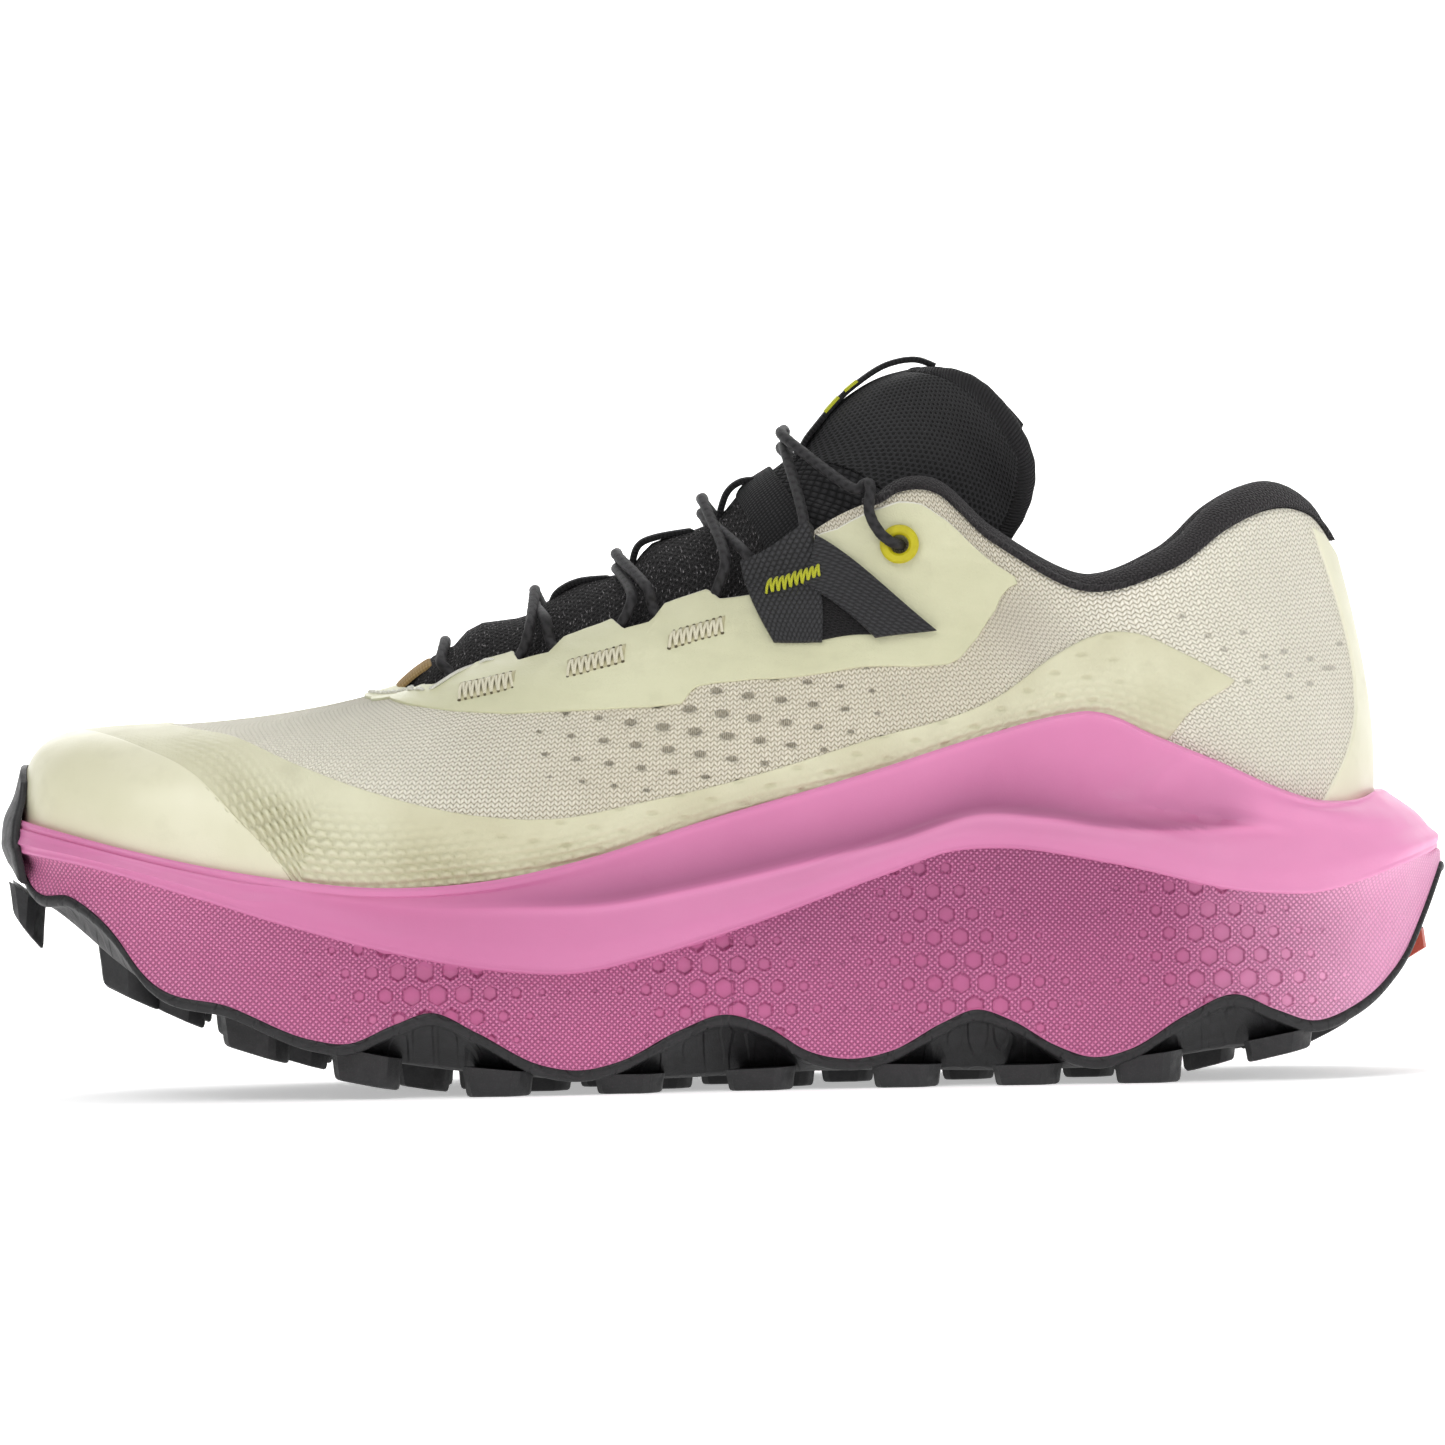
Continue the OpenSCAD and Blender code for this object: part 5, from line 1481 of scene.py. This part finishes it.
# ------------------------------------------------------------------ padded collar
# The lining rolls over the edge of the upper and runs down inside.
collar_rise = [0.5,2.6,2.6,2.4,3,4.4,5.6,5.8,4.4,3]                 # mm above the edge, turn 10 on
collar_pad = pairs(10.9,3.4, 12,4.2, 13.4,6.5, 15,7, 19,7)          # turn, mm
collar_depth = pairs(10.7,.955, 11.5,.955, 12,.66, 12.7,.45, 13.6,.13, 19,.1)   # turn, lowest rise
turns = np.linspace(10.75, 27.25, 340)
away = HEEL-np.abs(HEEL-turns)
pad = 1.9+curve(collar_pad, away)
to_heel = HEEL-away
crest = spline(collar_rise, away-10)*(.35+.65*ease(away, 10.75, 11.4))
crest = crest+3.*(np.sqrt(to_heel**2+.49)-to_heel)
roll = (pad+.25)/2
roll_z = np.minimum(roll*1.02, crest+.9)
rows = [upper(turns, .955, -1.75), upper(turns, .99, -1.72), upper(turns, 1., -.9)+UP*.35,
        upper(turns, 1., .12)+UP*.15]
centre = upper(turns, 1., -(pad-.25)/2)+UP*(crest-roll_z)[:, None]
for angle in (85, 65, 45, 22, 0, -22, -45, -65, -85):
    sine_, cosine = math.sin(math.radians(angle)), math.cos(math.radians(angle))
    rows.append(centre+outward(turns)*(roll*sine_)[:, None]+UP*(roll_z*cosine)[:, None])
for share in np.linspace(.03, 1, 16):
    rise = lerp(1., linear(collar_depth, away), share)
    belly = .06*np.sin(np.clip((rise-.62)/.38, 0, 1)*np.pi)
    thick = lerp(3.35, pad, ease(rise, .40, .66)+belly)
    thick = np.where(away < 12.6, np.minimum(thick, pad), thick)
    lift = (crest-roll_z)*(1-share)**3*(crest > roll_z)
    rows.append(upper(turns, rise, -thick)+UP*lift[:, None])
rows = np.stack(rows, 0)
run = lengths(rows).mean(1)
steps = np.interp(np.linspace(0, 1, 96), run/run[-1], np.arange(len(rows)))
outer = np.moveaxis(catmull(rows, steps), 0, 1)
outer = outer+UP*(.22*fuzz(outer, 6., 3))[..., None]
normal = upward_normals(outer, 170, np.argmax(outer[170, :, 2]))
add("collar_roll", shell(outer, outer-normal*.75, arc_uv(outer, .45)), MATS["collar"],
    ("collar_lining",))

# ------------------------------------------------------------------ throat
# top of the gusset in the middle plane: x, z
gusset_top = pairs(
    -70,76, -66,78.6, -63,81.8, -60,85.0, -57.5,87.2, -55.5,88.2, -53.2,89.2, -50.5,92.2,
    -47.4,93.8, -43.5,94.2, -40.5,94.5, -38,95.2, -35.6,96.8, -33.4,98.4, -31,99.7, -27.6,101.4,
    -21.8,102.5, -19,103, -17,104.6, -15,107.2, -13,109.1, -9,110.5, -4.2,111.8, -2.4,112.4,
    -.5,113.4, 2,115.4, 4.2,118.2, 6.2,120.5, 8.5,121.9, 12,124)


def gusset_crown(turn, x):
    x = x-9.3*ease(turn, 5.2, 9.9)
    return x, linear(gusset_top, x)


def pad_crown(turn, x):
    return x, curve(pad_line, x)


def arch(turn, rise, off, share, lift=0, crown=gusset_crown):
    "arc across the throat, medial edge to lateral edge, through a crown in the middle"
    left, right = upper(-turn, rise, off), upper(turn, rise, off)
    x, z = crown(turn, (left[..., 0]+right[..., 0])/2)
    handle = 2*vec(x, (left[..., 1]+right[..., 1])/2, z+lift)-(left+right)/2
    share = share[..., None]
    return left*(1-share)**2+handle*(2*share*(1-share))+right*share*share


def mesh_of(rows, columns):
    "two grids, one that varies by row and one by column"
    return np.meshgrid(rows, columns, indexing="ij")


turns, share = mesh_of(np.linspace(1.05, 9.75, 230), np.linspace(0, 1, 52))
gusset = arch(turns, .985, -KNIT-1.05, share)
gusset = gusset+UP*(.22*fuzz(gusset, 2.6, 2))[..., None]
skirt = np.linspace(.84, .97, 8)[None]
left = upper(-turns[:, :1], skirt, -KNIT-.75)
right = upper(turns[:, :1], skirt[:, ::-1], -KNIT-.75)
gusset = np.concatenate([left, gusset, right], 1)
normal = upward_normals(gusset, 115, 34)
add("throat_gusset_mesh", shell(gusset, gusset-normal*.8, cross_uv(gusset)), MATS["gusset"],
    ("throat_gusset",))

turns, share = mesh_of(np.linspace(1.4, 9.5, 90), np.linspace(0, 1, 32))
outer = arch(turns, .975, -KNIT-2.9, share, crown=pad_crown)
inner = arch(turns, .975, -KNIT-5.1, share, lift=-2.4, crown=pad_crown)
outer = outer+UP*(.25*fuzz(outer, 5., 1))[..., None]
add("tongue_base_pad", shell(outer, inner), MATS["lining"], ("tongue_base",),
    sharp=50)

# ------------------------------------------------------------------ tongue top
# A hood: across runs -1..1 from the medial to the lateral side, share 0..1 from root to top.
tongue_ridge = np.array([[0,14.8,124.6], [.2,18.6,128.6], [.4,22.6,133.6], [.6,27.9,138.0],
                         [.8,33.5,141.2], [1,40.2,143.2]])          # share, x, z
tongue_half = pairs(0,15.5, .3,16.5, .55,18, .75,21, 1,24)          # share, half width
tongue_side = np.array([[0,46,99], [.2,53,103], [.4,58.6,108.3], [.6,60.8,113.6],
                        [.8,61.6,119.2], [1,61.3,124.2]])           # share, x, z


def hood(across, share):
    angle = np.pi/2*np.abs(across)
    down = 1-np.cos(angle)
    x = lerp(curve(tongue_ridge, share), curve(tongue_side, share), down)
    z = lerp(curve(tongue_ridge, share, 2), curve(tongue_side, share, 2), down**2.5)
    return vec(x, MIDDLE+np.sign(across)*curve(tongue_half, share)*np.sin(angle), z)


def hood_off(across, share, off):
    normal = unit(np.cross(hood(across, share+.02)-hood(across, share-.02),
                           hood(across+.02, share)-hood(across-.02, share)))
    return hood(across, share)+np.asarray(off, float)[..., None]*normal


across, share = mesh_of((-1+2*np.linspace(0, 1, 441))*.975, .02+.95*np.linspace(0, 1, 149))
puff = .5*np.sin(np.pi*np.clip(share, 0, 1))**.5*np.cos(np.pi/2*across)**.3
crease = -.9*bell(share-.93, .018)*(np.abs(across) > .25)
outer = hood_off(across, share, puff-.9*(1-rounding(441, 149))*2
                 + .2*fuzz(hood(across, share), 8., 1)+crease)
few = across[::4, ::4]
inner = hood_off(few, share[::4, ::4], -5.1+2.2*(np.abs(few)/.975)**8)
cell = .35+.65*ease(np.abs(across), .05, .45)*(1-.8*ease(share, .88, .95))
add("tongue_spacer_mesh", slab(outer, inner, 4, cross_uv(outer)), MATS["spacer"],
    ("tongue_pad",), body="tongue_top",
    attributes={"cell": np.concatenate([cell.ravel(), cell[::4, ::4].ravel()])})

across, share = mesh_of((-1+2*ends(90, 120))*.9, .06+.86*ends(44, 34))
add("tongue_lining_cloth", shell(hood_off(across, share, -6.6), hood_off(across, share, -5.2)),
    MATS["lining"], ("tongue_lining",), sharp=50, body="tongue_top")

# edge tape: up the medial side, over the top, down the lateral side
half = [(-.985, share, -2.2) for share in np.arange(.04, .9, .07)]+[(-.965, .945, -2.0)]
track = half+[(across, .985, -1.7) for across in np.linspace(-.9, .9, 21)]
track += [(-across, share, off) for across, share, off in reversed(half)]
path = relax(smooth_path(hood_off(*np.array(track).T), 8, .6), 60)
add("tongue_edge_tape", tube(path, 1.95+.05*np.sin(np.arange(len(path))*.9), 20), MATS["binding"],
    ("tongue_binding",), body="tongue_top", wrap_v=2*math.pi*1.5)

# pull band over the ridge: x, z
band_points = pairs(16.6,125.2, 18.4,129.0, 20.9,132.2, 23.6,135.3, 27.0,138.7, 32.6,142.7,
                    36.8,144.4, 41,144.75, 44.6,143.4)
path = smooth_path([[x, 0, z] for x, z in band_points], 16, .4)


def band_crown(y):
    return .25*np.cos((y+2)/5.2*np.pi/2)[None, :, None]


y = lerp(-7.2, 3.2, ends(26, 10, (.12, .35)))
base, normal = ribbon(path, y)
thick = .55*rounded(26)[None, :, None]
outer = base+normal*(thick+band_crown(y))
inner = base-normal*(thick*.8-band_crown(y))
add("pull_band_tape", shell(outer, inner, arc_uv(base)), MATS["band"], ("pull_band",),
    sharp=60, body="tongue_top")

accents = []
# shares of the band's length, then y from and to
for start, stop, low, high in ((.30, .42, -7.3, -3.4), (.46, .56, -7.3, -4.6), (.33, .4, -2, 1.2)):
    y = np.linspace(low, high, 8)
    run = slice(int(start*len(path)), int(stop*len(path)))
    base, normal = (part[run] for part in ribbon(path, y))
    crown = band_crown(y)
    accents.append(shell(base+normal*(.78+crown), base+normal*(.2+crown), arc_uv(base)))
add("pull_band_accents", join(accents), MATS["yellow"], sharp=60,
    body="tongue_top")

# cloth between the gusset and the tongue top; it bends at the tongue's root
across, share = mesh_of(np.linspace(0, 1, 90), np.linspace(0, 1, 44))
aside = np.abs(2*across-1)
lower = arch(9.62*np.ones_like(across), .985, -KNIT-1.3, across, lift=-.2)
higher = hood_off((-1+2*across)*.8, np.clip(.2*(1-aside/.5), .02, .2), .15-.6*aside**2)
cloth = lerp(lower, higher, share[..., None])
sag = np.sin(np.pi*share)
cloth = cloth+UP*(-.5*sag+.55*fuzz(cloth, 1.7, 2)*sag)[..., None]
normal = upward_normals(cloth, 45, 10)
pocket = add("pocket_cloth", shell(cloth, cloth-normal*.7), MATS["pocket"],
             body=None)
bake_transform(pocket)

turns, share = mesh_of(np.linspace(9.2, 9.86, 26), np.linspace(.03, .97, 90))
edge = rounding(26, 90)
outer = arch(turns, .985, -KNIT-.9, share, lift=.1)+UP*(.75*edge)[..., None]
add("pocket_tape", shell(outer, outer-UP*(1.0*edge+.1)[..., None]), MATS["band"],
    ("pocket_binding",), sharp=50)

# ------------------------------------------------------------------ lace
# crossings over the throat: x, z, half width, extra lift beside the middle and at it
crossings = ((-55, 90.2, 5, 0, 0), (-36.7, 98.2, 5, 0, 0), (-19.9, 105.2, 5, 0, 0),
             (-2.4, 115.9, 6, -.3, 0), (14.2, 129.4, 8, -1.2, -.1))
# runs from one crossing to the next, on alternate sides: turn, rise, mm out, mm up
lace_runs = (
    ((4.3,1,1.2,2.2), (4.55,1,.3,.6), (4.8,.975,-1.6,0), (5.3,.955,-2.4,0), (5.8,.95,-2.2,0),
     (6.02,.945,-1.2,0), (6.14,.975,.3,0), (6.2,1,1.2,3.2)),
    ((6.4,1,1.2,3.4), (6.46,.985,.5,.4), (6.56,.955,-.9,0), (6.75,.945,-2.3,0), (7.0,.95,-2.4,0),
     (7.2,.95,-1.9,0), (7.32,.965,-.3,0), (7.4,1,.9,2.6)),
    ((7.56,1,1.1,3.4), (7.62,.99,.5,.6), (7.7,.96,-.9,0), (7.85,.945,-2.3,0), (8.1,.95,-2.4,0),
     (8.3,.955,-1.7,0), (8.4,.985,.1,.5), (8.5,1,1.0,5.)),
    ((8.75,1,1.2,5.), (8.85,1,.6,2.), (9.1,.995,.5,.5), (9.5,.995,.5,.5), (9.72,1,.8,2.6)),
    ((10.5,1,-1.2,4.6), (10.78,1,-1.0,4.2), (10.92,1,1.4,3.0), (10.86,.985,3.2,0),
     (10.86,.955,3.3,0), (10.93,.925,3.2,0), (11.06,.905,2.7,0), (11.14,.9,1.4,0),
     (RING_TURN, RING_RISE, -KNIT-2.2, 0)))


def lace_half(side):
    "from the front crossing to the eyelet; the halves pass over and under each other"
    beside_lift, middle_lift = (1.4, 1.6) if side < 0 else (-1.4, -1.2)
    x, z, reach = crossings[0][:3]
    points = [[x, MIDDLE, z], [x, MIDDLE+side*reach, z-.5]]
    for i, run in enumerate(lace_runs):
        lane = side*(-1)**i
        if i:
            x, z, reach, beside, middle = crossings[i]
            low, high = z+beside_lift+beside, z+middle_lift+middle
            points += [[x, MIDDLE-lane*reach, low], [x, MIDDLE, high], [x, MIDDLE+lane*reach, low]]
        turn, rise, off, lift = np.array(run).T
        points += list(upper(lane*turn, rise, off)+UP*lift[:, None])
    return points


path = relax(smooth_path(lace_half(-1)[::-1]+lace_half(1)[1:], 10, .36), 6)
STRANDS, BRAID_PITCH = 3, 2.7
around = STRANDS*angles(12)[None]
run = 2*np.pi*lengths(path)[:, None]/BRAID_PITCH
swap = .5*np.sin(around-run)
braid = (np.abs(np.cos((around+run)/2))**.7*.9*(.5+swap)
         + np.abs(np.cos((around-run)/2+.8))**.7*.9*(.5-swap))
# the braid height also feeds the cord's painted highlight and shade
add("lace_braid", tube(path, 1.08, 12, swell=.15*(braid-.6)), MATS["cord"], ("lace",),
    attributes={"relief": np.concatenate([braid.ravel(), [0, 0]])}, wrap_v=2*math.pi*1.14)

# webbing loops in the middle of the throat: x, z
webbing = (pairs(-33.6,96.8, -32.1,99.6, -27.8,101.7, -21.4,102.2),
           pairs(-17.2,104.2, -15.9,108.4, -12.4,110.2, -4.6,111.4),
           pairs(.4,113.4, 2.1,118.6, 4.9,121.0, 8.6,121.4))
loops = [tape(points, np.linspace(-3.4, 3.4, 14), above=.7, below=.7) for points in webbing]
add("throat_webbing_loops", join(loops), MATS["band"], sharp=50)


# ------------------------------------------------------------------ straps
def strap(name, side, corners, low, high, material, count, size, fold=False, replaces=()):
    "cloth between four turn, rise corners; with fold its top end rolls outwards"
    across, share = mesh_of(ends(count[0], size[0], (.1, .3)), ends(count[1], size[1], (.1, .3)))
    corners = np.array(corners, float)
    a, b = across[..., None], share[..., None]
    place = lerp(lerp(corners[3], corners[2], a), lerp(corners[0], corners[1], a), b)
    turns, rises = side*place[..., 0], place[..., 1]
    edge = rounded(count[0])[:, None]*rounded(count[1], stop=not fold)[None]
    top = low+(high-low)*edge
    if fold:
        over = ease(share, .86, 1.)
        outer = upper(turns, rises, top+.7*over*2.2)+UP*(1.6*over**2)[..., None]
        inner = upper(turns, rises, low-.2-1.2*over)+UP*(1.2*over**2)[..., None]
    else:
        outer = upper(turns, rises, top+.05*fuzz(upper(turns, rises), 4.))
        inner = upper(turns, rises, low)
    add(name, shell(outer, inner), material, replaces, sharp=50)


for side, side_name in SIDES:
    strap("strap_mesh_"+side_name, side, [[9.42,.91], [9.66,.89], [10.5,.692], [9.4,.742]],
          .4, 1.1, MATS["strap_mesh"], count=(60, 50), size=(8, 16))
    strap("strap_upright_"+side_name, side, [[8.74,1.0], [9.84,1.0], [9.56,.728], [9.06,.775]],
          .75, 1.7, MATS["twill"], count=(60, 80), size=(11, 22), fold=True,
          replaces=("strap_"+side_name,))
    strap("strap_diagonal_"+side_name, side, [[9.5,.9], [9.88,.985], [11.22,.688], [10.24,.692]],
          1.35, 2.2, MATS["twill_diagonal"], count=(46, 110), size=(12, 28))

# ------------------------------------------------------------------ zigzag bartacks
TACK_LEAN = .12


def tack_point(side, line, share, off, height):
    "turn, rise of a point height mm above a tack's line in the side view"
    turn, rise = lerp(line[0][0], line[1][0], share), lerp(line[0][1], line[1][1], share)
    step = .02
    places = upper(side*np.array([turn, turn+step, turn]), np.array([rise, rise, rise+step]), off)
    rates = np.array([(places[k]-places[0])[[0, 2]] for k in (1, 2)]).T/step
    move = np.linalg.inv(rates) @ np.array([height*TACK_LEAN, height])
    return turn+move[0], rise+move[1]


def bartack(side, line, half, off, zigzags, radius):
    "zigzag thread that dips in at the needle points"
    points = []
    count = zigzags*2
    for i in range(count+1):
        height = half*(1 if i % 2 else -1)*(1+.07*math.sin(i*2.3))
        points.append((*tack_point(side, line, i/count, off, height), off-.3))
        if i < count:
            for part in (.3, .7):
                place = tack_point(side, line, (i+part)/count, off, height*(1-2*part))
                points.append((*place, off+.5))
    turn, rise, out = np.array(points).T
    return tube(smooth_path(upper(side*turn, rise, out), 6, .2), radius)


# dark plugs at the needle points: painted shade of the needle holes
def needle_shade_marks(side, line, half, off, zigzags):
    marks = []
    count = zigzags*2
    for i in range(count+1):
        height = half*(1.1 if i % 2 else -1.1)
        turn, rise = tack_point(side, line, i/count, off, height)
        centre = upper(side*turn, rise, off)
        normal = unit(upper(side*turn, rise, off+1.)-centre)
        path = np.array([centre-normal*.3, centre-normal*.03, centre+normal*.06])
        marks.append(tube(path, [.44, .44, .28], first_normal=[1, 0, .1]))
    return marks


# dark sheet under each tack: painted shadow of the thread, seen in the gaps between its loops
def tack_shadow_sheet(side, line):
    places = np.array([tack_point(side, line, share, .6, height)
                       for share in np.linspace(-.03, 1.03, 24)
                       for height in np.linspace(-1.75, 1.75, 10)]).reshape(24, 10, 2)
    turns, rises = side*places[..., 0], places[..., 1]
    return shell(upper(turns, rises, .6+.1*rounding(24, 10)), upper(turns, rises, .3))


# lines of the tacks, as turn, rise of both ends
eyestay_tacks = (((5.78, .772), (6.40, .786)), ((7.0, .784), (7.54, .806)),
                 ((8.0, .825), (8.54, .858)))
strap_tack = ((9.07, .936), (9.76, .904))
spots = [(side, line) for side, _ in SIDES for line in eyestay_tacks]
tack_shadows = [tack_shadow_sheet(side, line) for side, line in spots]
cream = [bartack(side, line, half=1.45, off=.7, zigzags=8, radius=.33) for side, line in spots]
yellow = [bartack(side, strap_tack, half=1.35, off=2.0, zigzags=9, radius=.3)
          for side, _ in SIDES]
marks = [mark for side, line in spots
         for mark in needle_shade_marks(side, line, half=1.45, off=.62, zigzags=8)]
# painted shadow sheets under the tacks
add("bartack_shadow_sheets", join(tack_shadows),
    plastic_mat("bartack_painted_shadow", (192, 186, 150), (176, 170, 134), roughness=.6))
add("eyestay_bartack_thread", join(cream), MATS["cream"], ("eyestay_bartacks",))
add("strap_bartack_thread", join(yellow), MATS["yellow"], ("strap_bartacks",))
# painted shade of the needle holes
add("bartack_needle_shades", join(marks),
    plastic_mat("needle_hole_painted_shade", (96, 88, 62), (70, 62, 40), roughness=.9))

# ------------------------------------------------------------------ front end of the throat
STITCHES = 34
stitches = []
for i in range(STITCHES):
    turns = -5.75+11.5*i/STITCHES+np.array([0, .08, .15, .23])
    limit = np.where(np.abs(turns) > 3.2, .995, 1.)
    rises = np.minimum(top_rise(turns), limit)-.05+.012*np.abs(turns/5)
    points = upper(turns, rises, np.array([.35, .8, .8, .35]))
    stitches.append(tube(smooth_path(points, 5, .2), .38))
add("throat_stitches", join(stitches), MATS["white"])

tape_points = pairs(-65.9,79.0, -64.4,81.4, -61.9,83.7, -59.4,85.5, -57.6,86.5)     # x, z
add("throat_tape", tape(tape_points, np.linspace(-6, 6, 20), above=.7, below=.5, sag=.035),
    MATS["tan"], sharp=50)

# ------------------------------------------------------------------ insole with a cupped rim
turns = loop_turns(520)


def insole_ring(off, lift, cup=0.):
    ring = on_line(foot(turns)+outward(turns)*off, bed_line, lift)
    ring[:, 2] += cup*(.5+.9*ease(ring[:, 0], 20, 90))
    return ring


# mm outside the foot outline, mm above the bed, share of the cup
rings = [insole_ring(*row) for row in (
    (-4.2, 1.75), (-4.1, 3.2, .3), (-4.2, 5.2, .8), (-4.35, 6.6, 1.0), (-4.8, 7.0, 1.1),
    (-5.4, 7.1, 1.0), (-6.6, 6.85, .7))]
border = insole_ring(-4.6, 0)
middle = spine(border, bed_line)
for share in (.12, .2, .35, .6, .8):
    ring = toward(border, middle, share, bed_line, 5.95)
    ring[:, 2] += .55*(1-ease(share, .1, .4))+.12*fuzz(ring, 9., 2)
    rings.append(ring)
verts, polys, _ = stack(rings, spine(rings[0], bed_line, 1.75), spine(border, bed_line, 5.95))
add("insole_cupped", (verts, polys, verts[:, :2]), MATS["insole_cloth"],
    ("insole_cover", "insole_foam"), sharp=50, body="sockliner")

# ------------------------------------------------------------------ stage, light, camera (metres)
scene = bpy.context.scene
# floor that curves up into a backdrop: y, z
floor_line = pairs(-4.0,0, 2.2,0, 2.6,.03, 2.9,.12, 3.15,.35, 3.3,.8, 3.3,4.5)
verts = np.array([[x, y, z] for x in (-5, 5) for y, z in floor_line])*1000.
count = len(floor_line)
faces = np.array([[j, count+j, count+j+1, j+1] for j in range(count-1)])
floor = add("studio_floor", (verts, [faces], None), paper_mat(), body=None, keep_faces=True)
floor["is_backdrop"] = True

world = bpy.data.worlds.new("studio")
scene.world = world
world.use_nodes = True
background = world.node_tree.nodes["Background"]
background.inputs["Color"].default_value = (1, 1, 1, 1)
background.inputs["Strength"].default_value = .30


def area(name, location, target, size, power):
    light = bpy.data.lights.new(name, "AREA")
    light.shape = "RECTANGLE"
    light.size = light.size_y = size
    light.energy = power
    item = bpy.data.objects.new(name, light)
    scene.collection.objects.link(item)
    item.location = location
    aim = Vector(target)-Vector(location)
    item.rotation_euler = aim.to_track_quat("-Z", "Y").to_euler()


area("key", (-.55, -1.1, 1.25), target=(0, 0, .05), size=.9, power=8.5)
area("fill", (.9, -1.3, .5), target=(0, 0, .06), size=1.1, power=3.0)
area("top", (.1, .1, 1.6), target=(0, 0, .05), size=1.2, power=6.5)
area("back", (0, 1.2, .9), target=(0, 0, .08), size=1.4, power=2.5)
area("rear", (1.5, -.5, .45), target=(.1, 0, .06), size=.8, power=4.)
area("backdrop", (0, 1.4, 1.8), target=(0, 3.2, .3), size=2.4, power=60.)

DISTANCE = 2.6
VIEW_WIDTH = .2908                  # width seen at that distance
ROLL, ELEVATION = math.radians(1.127), math.radians(.6)
camera_data = bpy.data.cameras.new("camera")
camera = bpy.data.objects.new("camera", camera_data)
scene.collection.objects.link(camera)
camera_data.sensor_width = 36
camera_data.lens = 36*DISTANCE/VIEW_WIDTH
camera_data.clip_start = .05
camera_data.clip_end = 30
back = Vector((0, -math.cos(ELEVATION), math.sin(ELEVATION)))
location = Vector((.0005, -.002, .0727))+back*DISTANCE
right = Vector((math.cos(ROLL), 0, -math.sin(ROLL)))
above = back.cross(right).normalized()
right = above.cross(back).normalized()
axes = zip(right, above, back, location)
camera.matrix_world = Matrix((*axes, (0, 0, 0, 1)))
scene.camera = camera
scene.view_settings.view_transform = "Standard"

low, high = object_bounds()
